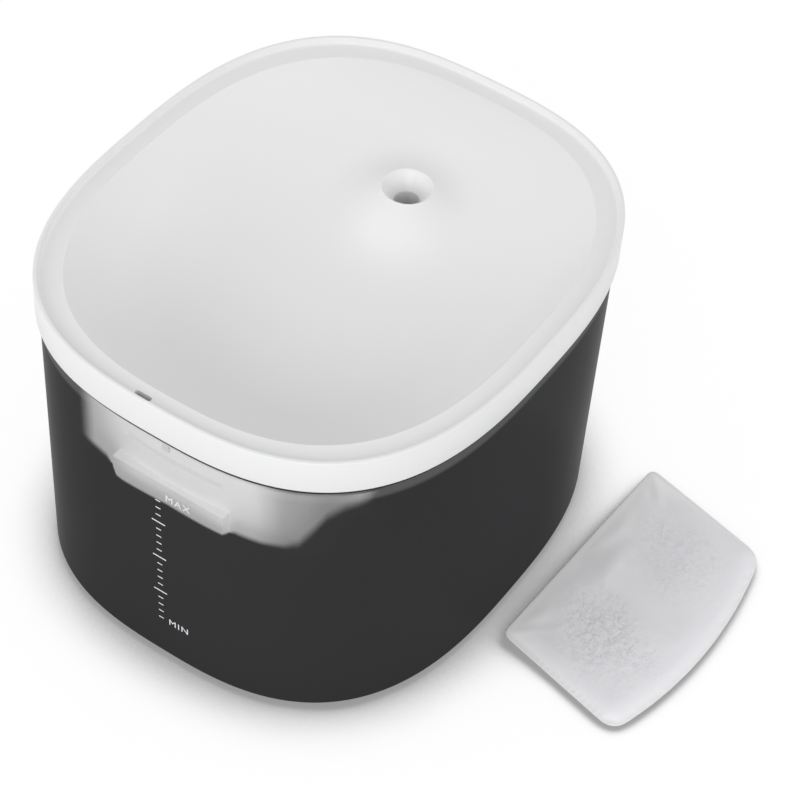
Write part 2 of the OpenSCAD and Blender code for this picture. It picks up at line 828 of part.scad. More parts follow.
// top sheet: a flat flange with two dished covers over the pads
module cover(side, lean) {
    capped_skin(concat(
        [pocket_ring(side, 16, pad_top + 0.6, lean)],
        [for (i = [3:-1:0])
            pocket_ring(side, pad_steps[i], crown(pad_steps[i], 6.5), lean)],
        [pocket_ring(side, 0, sheet_t + 0.2, lean),
         pocket_ring(side, -1.6, sheet_t + 0.2, lean),
         pocket_ring(side, -1.6, 2 * sheet_t - 0.2, lean),
         pocket_ring(side, -0.7, 2 * sheet_t - 0.2, lean)],
        [for (o = pad_steps)
            pocket_ring(side, o - 0.3, crown(o, 6.5) + sheet_t, lean)],
        [pocket_ring(side, 16, pad_top + 0.6 + sheet_t, lean)]));
}
module top_sheet(lean = 0) {
    translate([0, 0, sheet_t])
        linear_extrude(height = sheet_t)
            difference() {
                filter_outline(lean);
                for (s = [-1, 1])
                    polygon([for (p = pocket_ring(s, 0, 0, lean)) [p[0], p[1]]]);
            }
    cover(-1, lean);
    cover(1, lean);
}

module in_tray() {
    translate([0, filter_back, filter_z])
        children();
}
// the spare lies on the floor beside the fountain
spare_x = rim_w / 2 + 8.6;
spare_y = 36.2;
spare_turn = 88;
module beside() {
    translate([spare_x, spare_y, 0])
        rotate([0, 0, spare_turn])
            children();
}

module filter_base_sheet() {
    color("White") in_tray() base_sheet();
}
module filter_media() {
    color("Gray") in_tray() media();
}
module filter_top_sheet() {
    color("White") in_tray() top_sheet();
}
module spare_filter_base_sheet() {
    color("White") beside() base_sheet(spare_lean);
}
module spare_filter_media() {
    color("Gray") beside() media(spare_lean);
}
module spare_filter_top_sheet() {
    color("White") beside() top_sheet(spare_lean);
}

tank();
foot_ring();
cable_grommet();
pump_body();
impeller_cover();
impeller();
rotor_magnet();
rotor_shaft();
shaft_bushes();
intake_cover();
pump_sponge();
flow_regulator();
suction_cups();
riser_tube();
spout_gasket();
drinking_bowl();
filter_tray();
filter_base_sheet();
filter_media();
filter_top_sheet();
spare_filter_base_sheet();
spare_filter_media();
spare_filter_top_sheet();
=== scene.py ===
"""Finishes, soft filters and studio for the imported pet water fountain.

The CAD nodes are the frame. This script adds the smooth shells of tank and bowl,
the stuffed filter pouches, the printed level scale, a procedural finish for every
piece, and a plain studio. Lengths are metres; +Z is up and -Y is the front.
"""

import json
import logging
import math
from dataclasses import dataclass, field
from enum import Enum
from typing import Any, Optional, Sequence, Union

import bmesh
import bpy
import numpy as np
from mathutils import Matrix, Vector, geometry, noise

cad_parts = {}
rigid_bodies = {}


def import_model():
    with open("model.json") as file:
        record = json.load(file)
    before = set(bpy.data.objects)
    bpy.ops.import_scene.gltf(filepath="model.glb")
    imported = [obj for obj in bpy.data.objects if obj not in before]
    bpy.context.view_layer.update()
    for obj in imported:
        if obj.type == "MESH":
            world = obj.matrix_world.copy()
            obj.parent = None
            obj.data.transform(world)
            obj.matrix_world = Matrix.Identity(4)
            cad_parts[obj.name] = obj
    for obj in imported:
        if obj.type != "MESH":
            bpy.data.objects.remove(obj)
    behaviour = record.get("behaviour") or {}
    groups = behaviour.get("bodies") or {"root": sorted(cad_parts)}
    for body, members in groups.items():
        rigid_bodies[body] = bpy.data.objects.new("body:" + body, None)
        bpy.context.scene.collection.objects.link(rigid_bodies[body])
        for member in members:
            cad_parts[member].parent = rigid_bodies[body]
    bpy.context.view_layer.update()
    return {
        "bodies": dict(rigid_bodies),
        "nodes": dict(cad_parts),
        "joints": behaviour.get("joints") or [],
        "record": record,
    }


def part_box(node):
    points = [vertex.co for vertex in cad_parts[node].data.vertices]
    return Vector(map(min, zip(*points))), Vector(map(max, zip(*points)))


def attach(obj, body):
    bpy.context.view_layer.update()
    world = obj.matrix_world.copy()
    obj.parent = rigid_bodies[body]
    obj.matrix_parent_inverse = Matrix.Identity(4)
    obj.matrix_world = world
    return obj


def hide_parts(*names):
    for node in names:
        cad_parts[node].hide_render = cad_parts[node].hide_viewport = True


LOG = logging.getLogger("fountain")

Colour = tuple[float, float, float]
Point = tuple[float, float, float]
Pair = tuple[float, float]
Settings = Optional[dict]
BLACK: Colour = (0.0, 0.0, 0.0)
WHITE: Colour = (1.0, 1.0, 1.0)


# ---- shader nets -------------------------------------------------------------


class Level:
    """A single value on a shader socket; arithmetic on it adds Math nodes."""

    def __init__(self, net: "Net", socket: bpy.types.NodeSocket) -> None:
        """Keeps the net and the socket that the value comes from."""
        self.net = net
        self.socket = socket

    def math(self, operation: str, *others: Union["Level", float]) -> "Level":
        """Adds one Math node.

        Args:
            operation: The Math node's operation.
            others: The further operands, levels or plain numbers.

        Returns:
            The node's result.
        """
        return self.net.level("ShaderNodeMath", {"operation": operation}, [self, *others])

    def flipped(self, operation: str, first: float) -> "Level":
        """Adds a Math node whose first operand is a plain number."""
        return self.net.level("ShaderNodeMath", {"operation": operation}, [first, self])

    def __add__(self, other: Union["Level", float]) -> "Level":
        """Sum."""
        return self.math("ADD", other)

    def __radd__(self, other: float) -> "Level":
        """Sum with a number on the left."""
        return self.math("ADD", other)

    def __sub__(self, other: Union["Level", float]) -> "Level":
        """Difference."""
        return self.math("SUBTRACT", other)

    def __rsub__(self, other: float) -> "Level":
        """Number less this level."""
        return self.flipped("SUBTRACT", other)

    def __mul__(self, other: Union["Level", float]) -> "Level":
        """Product."""
        return self.math("MULTIPLY", other)

    def __rmul__(self, other: float) -> "Level":
        """Product with a number on the left."""
        return self.math("MULTIPLY", other)

    def __truediv__(self, other: Union["Level", float]) -> "Level":
        """Quotient."""
        return self.math("DIVIDE", other)

    def at_least(self, other: Union["Level", float]) -> "Level":
        """The larger of the two."""
        return self.math("MAXIMUM", other)

    def at_most(self, other: Union["Level", float]) -> "Level":
        """The smaller of the two."""
        return self.math("MINIMUM", other)

    def ramp(self, start: float, end: float) -> "Level":
        """A soft step.

        Args:
            start: Where the result is 0.
            end: Where the result is 1; it may be the lower of the two.

        Returns:
            A level from 0 to 1.
        """
        settings = {"interpolation_type": "SMOOTHSTEP"}
        inputs = {"Value": self, "From Min": start, "From Max": end}
        return self.net.level("ShaderNodeMapRange", settings, inputs)


class Net:
    """The node tree of one material, with one method for any node."""

    def __init__(self, name: str) -> None:
        """Starts an empty material of that name."""
        self.material = bpy.data.materials.new(name)
        self.material.use_nodes = True
        self.tree = self.material.node_tree
        self.tree.nodes.clear()

    def node(self, kind: str, settings: Settings = None, inputs: Any = None) -> bpy.types.Node:
        """Adds a node.

        Args:
            kind: The node's type.
            settings: Its properties; "stops" are a ramp's (place, colour) pairs.
            inputs: Values, levels or sockets, by socket name or in order.

        Returns:
            The new node.
        """
        made = self.tree.nodes.new(kind)
        for key, value in (settings or {}).items():
            if key == "stops":
                self.set_stops(made, value)
            else:
                setattr(made, key, value)
        pairs = inputs.items() if isinstance(inputs, dict) else enumerate(inputs or [])
        for key, value in pairs:
            self.feed(made.inputs[key], value)
        return made

    def set_stops(self, ramp: bpy.types.Node, stops: Sequence[tuple[float, Colour]]) -> None:
        """Sets the stops of a colour ramp."""
        elements = ramp.color_ramp.elements
        while len(elements) < len(stops):
            elements.new(1.0)
        for element, (place, colour) in zip(elements, stops):
            element.position = place
            element.color = (*colour, 1.0)

    def feed(self, socket: bpy.types.NodeSocket, value: Any) -> None:
        """Links a level or socket to an input, or sets its plain value."""
        if isinstance(value, Level):
            value = value.socket
        if isinstance(value, bpy.types.NodeSocket):
            self.tree.links.new(value, socket)
        elif isinstance(value, tuple) and socket.type == "RGBA":
            socket.default_value = (*value, 1.0)
        else:
            socket.default_value = value

    def level(self, kind: str, settings: Settings = None, inputs: Any = None,
              output: Union[int, str] = 0) -> Level:
        """Adds a node and returns one of its outputs as a level."""
        return Level(self, self.node(kind, settings, inputs).outputs[output])

    def place(self, turn: Point = (0, 0, 0), stretch: Point = (1, 1, 1)) -> bpy.types.NodeSocket:
        """The point on the piece, in metres from the origin.

        Args:
            turn: Turn of the pattern, in radians.
            stretch: Scale of the pattern along each axis.

        Returns:
            A vector socket.
        """
        point = self.node("ShaderNodeTexCoord").outputs["Object"]
        if turn == (0, 0, 0) and stretch == (1, 1, 1):
            return point
        inputs = {"Vector": point, "Rotation": turn, "Scale": stretch}
        return self.node("ShaderNodeMapping", None, inputs).outputs["Vector"]

    def profile(self, along: Level, points: Sequence[Pair]) -> Level:
        """A smooth curve through points.

        Args:
            along: Where on the curve.
            points: Its (place, value) pairs, in order of place, with values from 0 to 1.

        Returns:
            The curve's value.
        """
        first, last = points[0][0], points[-1][0]
        inputs = {"Value": along, "From Min": first, "From Max": last}
        share = self.level("ShaderNodeMapRange", None, inputs)
        stops = [((at - first) / (last - first), (value, value, value)) for at, value in points]
        ramp = self.node("ShaderNodeValToRGB", {"stops": stops}, {"Fac": share})
        return Level(self, ramp.outputs["Color"])

    def axes(self) -> tuple[Level, Level, Level]:
        """The three coordinates of the point on the piece."""
        split = self.node("ShaderNodeSeparateXYZ", None, {"Vector": self.place()})
        return tuple(Level(self, split.outputs[i]) for i in range(3))

    def cloud(self, per_metre: float, detail: float = 3.0, turn: Point = (0, 0, 0),
              stretch: Point = (1, 1, 1), warp: float = 0.0) -> Level:
        """Smooth noise.

        Args:
            per_metre: Its frequency.
            detail: Its octaves.
            turn: Turn of the pattern.
            stretch: Scale along each axis, for streaks.
            warp: Its distortion.

        Returns:
            A level around 0.5.
        """
        inputs = {"Vector": self.place(turn, stretch), "Scale": per_metre, "Detail": detail,
                  "Distortion": warp}
        return self.level("ShaderNodeTexNoise", None, inputs, "Fac")

    def cells(self, per_metre: float) -> Level:
        """Cell noise: the distance from the nearest cell's centre."""
        inputs = {"Vector": self.place(), "Scale": per_metre}
        return self.level("ShaderNodeTexVoronoi", {"feature": "F1"}, inputs, "Distance")

    def attribute(self, name: str) -> Level:
        """The value of one of the piece's own point attributes."""
        return self.level("ShaderNodeAttribute", {"attribute_name": name}, None, "Fac")

    def tint(self, share: Union[Level, float], low: Any, high: Any) -> bpy.types.NodeSocket:
        """Mixes two colours, from low at 0 to high at 1."""
        mixer = self.node("ShaderNodeMix", {"data_type": "RGBA"})
        self.feed(mixer.inputs[0], share)
        self.feed(mixer.inputs[6], low)
        self.feed(mixer.inputs[7], high)
        return mixer.outputs[2]

    def bump(self, height: Level, depth: float, strength: float = 1.0,
             under: Optional[bpy.types.NodeSocket] = None) -> bpy.types.NodeSocket:
        """A normal from a height.

        Args:
            height: The height, 0 to 1.
            depth: What a height of 1 stands for, in metres.
            strength: Share of the effect.
            under: A normal from a coarser bump below this one.

        Returns:
            The normal socket.
        """
        inputs = {"Height": height, "Distance": depth, "Strength": strength}
        if under is not None:
            inputs["Normal"] = under
        return self.node("ShaderNodeBump", None, inputs).outputs["Normal"]

    def surface(self, **inputs: Any) -> bpy.types.Material:
        """Ends the net in a Principled shader.

        Args:
            inputs: Its inputs, with underscores for the blanks in their names.

        Returns:
            The finished material.
        """
        named = {key.replace("_", " "): value for key, value in inputs.items()}
        shader = self.node("ShaderNodeBsdfPrincipled", None, named)
        output = self.node("ShaderNodeOutputMaterial")
        self.tree.links.new(shader.outputs["BSDF"], output.inputs["Surface"])
        return self.material


# ---- finishes ----------------------------------------------------------------


@dataclass(frozen=True)
class Moulded:
    """Moulded plastic or rubber: a tone that wanders a little over a fine grain."""

    name: str
    colour: Colour
    roughness: float
    drift: float = 0.03
    grain_per_metre: float = 2600.0
    grain_depth: float = 0.00001
    sheen: float = 0.0
    specular: float = 0.5
    # emission strength; where it is set it is painted light, making a part brighter than its
    # lighting
    glow: float = 0.0
    wander_per_metre: float = 28.0
    wander_rough: float = 0.12
    grain_rough: float = 0.06

    def material(self) -> bpy.types.Material:
        """Builds the material."""
        net = Net(self.name)
        wander = net.cloud(self.wander_per_metre, 2.0)
        grain = net.cloud(self.grain_per_metre, 2.0)
        low = tuple(c * (1 - self.drift) for c in self.colour)
        high = tuple(min(1.0, c * (1 + self.drift)) for c in self.colour)
        rough = (wander - 0.5) * self.wander_rough + (grain - 0.5) * self.grain_rough
        return net.surface(
            Base_Color=net.tint(wander, low, high),
            Roughness=rough + self.roughness,
            Normal=net.bump(grain, self.grain_depth),
            Sheen_Weight=self.sheen,
            Specular_IOR_Level=self.specular,
            Emission_Color=self.colour,
            Emission_Strength=self.glow,
        )


@dataclass(frozen=True)
class Smoked:
    """Smoked plastic, all but opaque, with a clear patch where the tray rests behind it.

    The tank's wall has two faces. The "inner" attribute is 1 on the inner one, which
    is left clear behind the patch, so that only the outer face carries the mask.
    """

    name: str = "smoked_wall"
    colour: Colour = (0.032, 0.032, 0.0335)
    paler: float = 1.15
    # painted light: a lighter tone below the bowl's band, for the white skirt glowing through
    painted_skirt_glow: Colour = (0.10, 0.10, 0.103)
    # painted light: a faint glow of the inner face away from the front, standing in for the dim
    # light inside the tank, seen through the patch when the tray is out of the way
    painted_inside_glow: Colour = (0.034, 0.034, 0.035)
    roughness: float = 0.30
    specular: float = 0.004
    wander_per_metre: float = 9.0
    grain_per_metre: float = 1500.0
    grain_depth: float = 0.000004
    wander_rough: float = 0.08
    grain_rough: float = 0.03
    # shares of the light that pass: plain wall, patch, patch at the right, inner face
    wall_pass: float = 0.005
    window_pass: float = 0.84
    cheek_pass: float = 0.48
    inner_pass: float = 0.97
    # the painted light of the skirt, a lighter band for the white skirt glowing through the
    # wall, begins at one height, and the patch and the paint end at the other
    skirt_glow_line: float = 0.1315
    skirt_glow_soft: float = 0.0015
    joint_line: float = 0.1364
    joint_soft: float = 0.0002
    # where the patch fades: towards the back, at its left, and to the lower share at its right
    front_y: float = -0.078
    front_soft: float = 0.008
    left_fade: Pair = (-0.0400, -0.0300)
    cheek_fade: Pair = (0.040, 0.056)
    # heights between which the inner face turns clear
    inner_fade: Pair = (0.080, 0.084)
    # the patch's lower edge: place across, and height
    foot: tuple[Pair, ...] = (
        (-0.0420, 0.1100), (-0.0300, 0.1096), (-0.0250, 0.1088), (-0.0222, 0.1052),
        (-0.0205, 0.1004), (-0.0170, 0.1000), (0.0050, 0.1013), (0.0295, 0.0999),
        (0.0322, 0.1027), (0.0345, 0.1042), (0.0450, 0.1034), (0.0535, 0.1042),
        (0.0585, 0.1072), (0.0630, 0.1155), (0.0670, 0.1240), (0.0720, 0.1290),
        (0.0780, 0.1320), (0.0840, 0.1400),
    )
    # how softly that edge fades: place across, and half the width of the fade
    blur: tuple[Pair, ...] = (
        (-0.0420, 0.0025), (-0.0240, 0.0025), (-0.0200, 0.0010), (0.0300, 0.0010),
        (0.0360, 0.0020), (0.0520, 0.0022), (0.0600, 0.0045), (0.0800, 0.0040),
    )

    def material(self) -> bpy.types.Material:
        """Builds the material: alpha falls where the wall looks clearer."""
        net = Net(self.name)
        x, y, z = net.axes()
        wander = net.cloud(self.wander_per_metre, 1.0)
        above = (z - net.profile(x, self.foot)) / net.profile(x, self.blur)
        ahead = y.ramp(self.front_y, self.front_y - self.front_soft)
        window = above.ramp(-1.0, 1.0) * ahead * x.ramp(*self.left_fade)
        clear = self.window_pass - x.ramp(*self.cheek_fade) * (self.window_pass - self.cheek_pass)
        below = 1.0 - self.edge(z, self.joint_line, self.joint_soft)
        outer = window * (clear - self.wall_pass) * below + self.wall_pass
        inner = net.attribute("inner")
        inside = inner * z.ramp(*self.inner_fade) * ahead
        passing = outer + inside * (self.inner_pass - outer)
        # painted light: where the skirt's glow is painted into the wall's colour
        skirt_glow_mask = self.edge(z, self.skirt_glow_line, self.skirt_glow_soft) * below
        wall = net.tint(wander, self.colour, tuple(c * self.paler for c in self.colour))
        grain = net.cloud(self.grain_per_metre, 2.0)
        rough = (wander - 0.5) * self.wander_rough + (grain - 0.5) * self.grain_rough
        return net.surface(
            Base_Color=net.tint(skirt_glow_mask, wall, self.painted_skirt_glow),
            Roughness=rough + self.roughness,
            Alpha=1.0 - passing,
            # painted light: the inner face glows faintly away from the front
            Emission_Color=net.tint(inner * (1.0 - ahead), BLACK, self.painted_inside_glow),
            Emission_Strength=1.0,
            Normal=net.bump(grain, self.grain_depth),
            Specular_IOR_Level=self.specular,
        )

    def edge(self, height: Level, line: float, soft: float) -> Level:
        """A step from 0 to 1 at a height, with half the width of its fade."""
        return height.ramp(line - soft, line + soft)


@dataclass(frozen=True)
class Milky:
    """Milky see-through tube."""

    name: str = "milky_tube"
    colour: Colour = (0.8, 0.82, 0.84)
    roughness: float = 0.22
    alpha: float = 0.72
    streaks_per_metre: float = 60.0
    streak_shape: Point = (1, 1, 0.15)
    streak_rough: float = 0.1
    streak_alpha: float = 0.15

    def material(self) -> bpy.types.Material:
        """Builds the material, cloudier along some streaks."""
        net = Net(self.name)
        streak = net.cloud(self.streaks_per_metre, 2.0, stretch=self.streak_shape)
        return net.surface(
            Base_Color=self.colour,
            Roughness=(streak - 0.5) * self.streak_rough + self.roughness,
            Alpha=(streak - 0.5) * self.streak_alpha + self.alpha,
        )


@dataclass(frozen=True)
class Foam:
    """Open-cell foam of the pump's strainer."""

    name: str = "strainer_foam"
    colour: Colour = (0.035, 0.035, 0.038)
    pore_shade_share: float = 0.3
    pores_per_metre: float = 900.0
    pore_depth: float = 0.0006
    web_step: Pair = (0.25, 0.6)
    web_smooth: float = 0.1
    roughness: float = 0.95

    def material(self) -> bpy.types.Material:
        """Builds the material: pores painted darker as shade in their hollows, in a lighter web."""
        net = Net(self.name)
        pores = net.cells(self.pores_per_metre)
        web = pores.ramp(*self.web_step)
        # painted shade: the pores are darker, as their hollows would be shaded
        pore_shade = tuple(c * self.pore_shade_share for c in self.colour)
        return net.surface(
            Base_Color=net.tint(web, pore_shade, self.colour),
            Roughness=self.roughness - web * self.web_smooth,
            Normal=net.bump(pores, self.pore_depth),
        )


@dataclass(frozen=True)
class Fleece:
    """Thin non-woven cloth over granules, matt, with fibres and a welded rim."""

    name: str = "filter_fleece"
    colour: Colour = (0.85, 0.85, 0.88)
    shade: Colour = (0.74, 0.74, 0.77)
    # painted light: a lighter flank towards the straight side, against the tank's shade on it
    flank: Colour = (0.95, 0.95, 0.965)
    rim: Colour = (0.87, 0.87, 0.88)
    specks_per_metre: float = 420.0
    fibres_per_metre: float = 520.0
    weave_per_metre: float = 1500.0
    roughness: float = 0.9
    rim_smooth: float = 0.35
    sheen: float = 0.15
    # specks of granules: distortion, step, share of the shade, relief and its strength
    speck_warp: float = 1.2
    speck_step: Pair = (0.48, 0.62)
    speck_share: float = 0.75
    speck_depth: float = 0.00012
    speck_strength: float = 0.8
    # fibres: turns, stretch, distortion, step, share of the shade, and two reliefs, the
    # first over granules only
    fibre_turns: tuple[float, ...] = (0.3, 1.4, 2.4)
    fibre_shape: Point = (1, 0.12, 1)
    fibre_warp: float = 0.6
    fibre_step: Pair = (0.6, 0.7)
    fibre_share: float = 0.35
    fibre_over: float = 0.5
    fibre_plain: float = 0.1
    weave_depth: float = 0.00003
    weave_strength: float = 0.7

    def material(self) -> bpy.types.Material:
        """Builds the material from the piece's own "fill", "flank" and "rim" attributes."""
        net = Net(self.name)
        fill, rim, flank = (net.attribute(name) for name in ("fill", "rim", "flank"))
        streaks = self.fibres(net)
        specks = net.cloud(self.specks_per_metre, 3.0, warp=self.speck_warp)
        specks = specks.ramp(*self.speck_step)
        shade = (specks * self.speck_share + streaks * self.fibre_share) * fill
        # painted light: the cloth turns lighter towards the straight side
        plain = net.tint(flank, self.colour, self.flank)
        cloth = net.tint(shade.at_most(1.0), plain, self.shade)
        weave = net.cloud(self.weave_per_metre, 3.0)
        lumps = (specks + streaks * self.fibre_over) * fill + streaks * self.fibre_plain
        soft = net.bump(lumps, self.speck_depth, self.speck_strength)
        return net.surface(
            Base_Color=net.tint(rim, cloth, self.rim),
            Roughness=self.roughness - rim * self.rim_smooth,
            Normal=net.bump(weave, self.weave_depth, self.weave_strength, under=soft),
            Sheen_Weight=self.sheen,
        )

    def fibres(self, net: Net) -> Level:
        """Fibres as streaks in three directions.

        Args:
            net: The net that they are added to.

        Returns:
            A level that is 1 on a fibre.
        """
        streaks = None
        for angle in self.fibre_turns:
            lines = net.cloud(self.fibres_per_metre, 2.0, turn=(0, 0, angle),
                              stretch=self.fibre_shape, warp=self.fibre_warp)
            lines = lines.ramp(*self.fibre_step)
            streaks = lines if streaks is None else streaks.at_least(lines)
        return streaks


@dataclass(frozen=True)
class Ink:
    """White print of the level scale."""

    name: str = "scale_print"
    colour: Colour = (0.82, 0.82, 0.83)
    worn: Colour = (0.7, 0.7, 0.71)
    wear_per_metre: float = 900.0
    wear_step: Pair = (0.2, 0.5)
    wear_rough: float = 0.1
    roughness: float = 0.45

    def material(self) -> bpy.types.Material:
        """Builds the material, a little thinner in places."""
        net = Net(self.name)
        thin = net.cloud(self.wear_per_metre, 2.0)
        return net.surface(
            Base_Color=net.tint(thin.ramp(*self.wear_step), self.worn, self.colour),
            Roughness=self.roughness + thin * self.wear_rough,
        )


class Finish(Enum):
    """The finishes of the fountain's pieces."""

    BOWL = Moulded("bowl_white", (0.84, 0.84, 0.845), 0.36, 0.006, 1800.0, 0.000003)
    # painted light: the tray glows, standing in for light that reaches it through the tank's wall
    TRAY = Moulded("tray_white", (0.46, 0.46, 0.465), 0.45, 0.02, 1800.0, 0.000006, glow=0.95)
    SMOKED = Smoked()
    RUBBER = Moulded("foot_rubber", (0.018, 0.018, 0.018), 0.72, 0.1, 1600.0, 0.00003, sheen=0.1)
    PUMP = Moulded("pump_black", (0.03, 0.03, 0.032), 0.5, 0.1, 2200.0, 0.00002)
    IMPELLER = Moulded("impeller_blue_grey", (0.16, 0.25, 0.36), 0.42, 0.05, 2200.0, 0.00001)
    MAGNET = Moulded("ferrite", (0.035, 0.035, 0.038), 0.4, 0.15, 3200.0, 0.00003)
    CERAMIC = Moulded("ceramic_shaft", (0.80, 0.79, 0.75), 0.12, 0.02, 3000.0, 0.000002)
    SPONGE = Foam()
    TUBE = Milky()
    FLEECE = Fleece()
    INK = Ink()


class Paints:
    """Makes each finish's material once."""

    def __init__(self) -> None:
        """Starts with none made."""
        self.made: dict[Finish, bpy.types.Material] = {}

    def of(self, finish: Finish) -> bpy.types.Material:
        """The material of a finish."""
        if finish not in self.made:
            self.made[finish] = finish.value.material()
        return self.made[finish]

    def coat(self, piece: bpy.types.Object, finish: Finish) -> None:
        """Gives a piece one finish all over."""
        piece.data.materials.clear()
        piece.data.materials.append(self.of(finish))


# ---- mesh helpers ------------------------------------------------------------


def add_object(name: str, data: bpy.types.ID) -> bpy.types.Object:
    """Makes an object from its data and links it to the scene."""
    made = bpy.data.objects.new(name, data)
    bpy.context.scene.collection.objects.link(made)
    return made


def add_mesh(name: str, points: Sequence, faces: Sequence) -> bpy.types.Object:
    """Makes an object at the origin from points and faces.

    Args:
        name: The piece's name.
        points: Vertices in the row frame.
        faces: Vertex numbers, counter-clockwise from outside.

    Returns:
        The new object, linked to the scene.
    """
    mesh = bpy.data.meshes.new(name)
    mesh.from_pydata([tuple(p) for p in points], [], [tuple(f) for f in faces])
    mesh.update()
    return add_object(name, mesh)


def skin(name: str, rings: Sequence[np.ndarray], closed: bool) -> bpy.types.Object:
    """Lofts a skin through rings of equal count.

    Args:
        name: The piece's name.
        rings: The rings, in order; seen along the order they run clockwise inside out.
        closed: Whether the last ring joins the first; otherwise both ends are capped.

    Returns:
        The new object.
    """
    count, around = len(rings), len(rings[0])
    points = np.concatenate(rings)
    faces = []
    for i in range(count if closed else count - 1):
        a, b = i * around, (i + 1) % count * around
        for j in range(around):
            k = (j + 1) % around
            faces.append((a + j, a + k, b + k, b + j))
    if not closed:
        faces.append(tuple(range(around - 1, -1, -1)))
        faces.append(tuple(range((count - 1) * around, count * around)))
    return add_mesh(name, points, faces)


def prism(name: str, outline: Sequence[Pair], y_low: float, y_high: float) -> bpy.types.Object:
    """A prism along Y over an outline of (x, z) points."""
    count = len(outline)
    points = [(x, y_low, z) for x, z in outline] + [(x, y_high, z) for x, z in outline]
    faces = [(i, (i + 1) % count, count + (i + 1) % count, count + i) for i in range(count)]
    faces += [tuple(range(count - 1, -1, -1)), tuple(range(count, 2 * count))]
    made = add_mesh(name, points, faces)
    face_outwards(made)
    return made


def block(name: str, low: Point, high: Point) -> bpy.types.Object:
    """A box between two corners."""
    outline = [(low[0], low[2]), (high[0], low[2]), (high[0], high[2]), (low[0], high[2])]
    return prism(name, outline, low[1], high[1])


def face_outwards(piece: bpy.types.Object) -> None:
    """Recalculates a closed mesh's normals to point outwards."""
    work = bmesh.new()
    work.from_mesh(piece.data)
    bmesh.ops.recalc_face_normals(work, faces=work.faces)
    work.to_mesh(piece.data)
    work.free()


def settle(piece: bpy.types.Object) -> None:
    """Turns a piece and its modifiers into a plain mesh."""
    graph = bpy.context.evaluated_depsgraph_get()
    mesh = bpy.data.meshes.new_from_object(piece.evaluated_get(graph))
    piece.modifiers.clear()
    piece.data = mesh


def carve(piece: bpy.types.Object, other: bpy.types.Object, operation: str) -> None:
    """Cuts another solid out of a piece, or adds it, and removes the other.

    Args:
        piece: The piece that is changed.
        other: The solid that cuts or is added.
        operation: DIFFERENCE or UNION.
    """
    step = piece.modifiers.new("carve", "BOOLEAN")
    step.operation = operation
    step.solver = "EXACT"
    step.object = other
    settle(piece)
    bpy.data.objects.remove(other)


def smooth(piece: bpy.types.Object, degrees: float = 32.0) -> None:
    """Shades a piece smooth, with sharp edges above an angle."""
    piece.data.shade_smooth()
    piece.data.set_sharp_from_angle(angle=math.radians(degrees))


def get_points(mesh: bpy.types.Mesh) -> np.ndarray:
    """The mesh's points as rows of three."""
    return np.array([v.co for v in mesh.vertices])


def set_points(mesh: bpy.types.Mesh, points: np.ndarray) -> None:
    """Moves the mesh's points."""
    mesh.vertices.foreach_set("co", points.astype(np.float32).ravel())


def write_attribute(mesh: bpy.types.Mesh, name: str, values: np.ndarray) -> None:
    """Writes one number for each point, for a material to read."""
    made = mesh.attributes.new(name, "FLOAT", "POINT")
    made.data.foreach_set("value", np.asarray(values, np.float32))


def ease(t: np.ndarray) -> np.ndarray:
    """Smooth step from 0 to 1."""
    c = np.clip(t, 0, 1)
    return c * c * (3 - 2 * c)


def step_up(value: np.ndarray, step: Pair) -> np.ndarray:
    """A smooth step in a value.

    Args:
        value: The values, in metres.
        step: What is added to them, and the width over which the result rises.

    Returns:
        The results, 0 to 1.
    """
    offset, width = step
    return ease((value + offset) / width)


# ---- tank --------------------------------------------------------------------


@dataclass
class Rim:
    """The plan outline that tank and bowl share, from the bowl's own box."""

    width: float
    depth: float
    height: float
    square: float = 2.76
    around: int = 240

    def oval(self, inset: float, z: float, square: Optional[float] = None) -> np.ndarray:
        """One ring of the outline.

        Args:
            inset: How far it lies inside the rim.
            z: Its height.
            square: Its squareness, if it isn't the rim's own.

        Returns:
            An array of points, counter-clockwise from above.
        """
        t = np.linspace(0, 2 * math.pi, self.around, endpoint=False)
        c, s = np.cos(t), np.sin(t)
        k = self.norm(c, s, square or self.square)
        x = (self.width / 2 - inset) * c / k
        y = (self.depth / 2 - inset) * s / k
        return np.stack([x, y, np.full_like(x, z)], 1)

    def norm(self, x: np.ndarray, y: np.ndarray, power: float) -> np.ndarray:
        """Size of a vector where the unit circle is a squarish oval."""
        return (np.abs(x) ** power + np.abs(y) ** power) ** (1 / power)

    def front_y(self, x: float, inset: float) -> float:
        """The outline's front, at one x."""
        share = abs(x) / (self.width / 2 - inset)
        return -(self.depth / 2 - inset) * (1 - share**self.square) ** (1 / self.square)


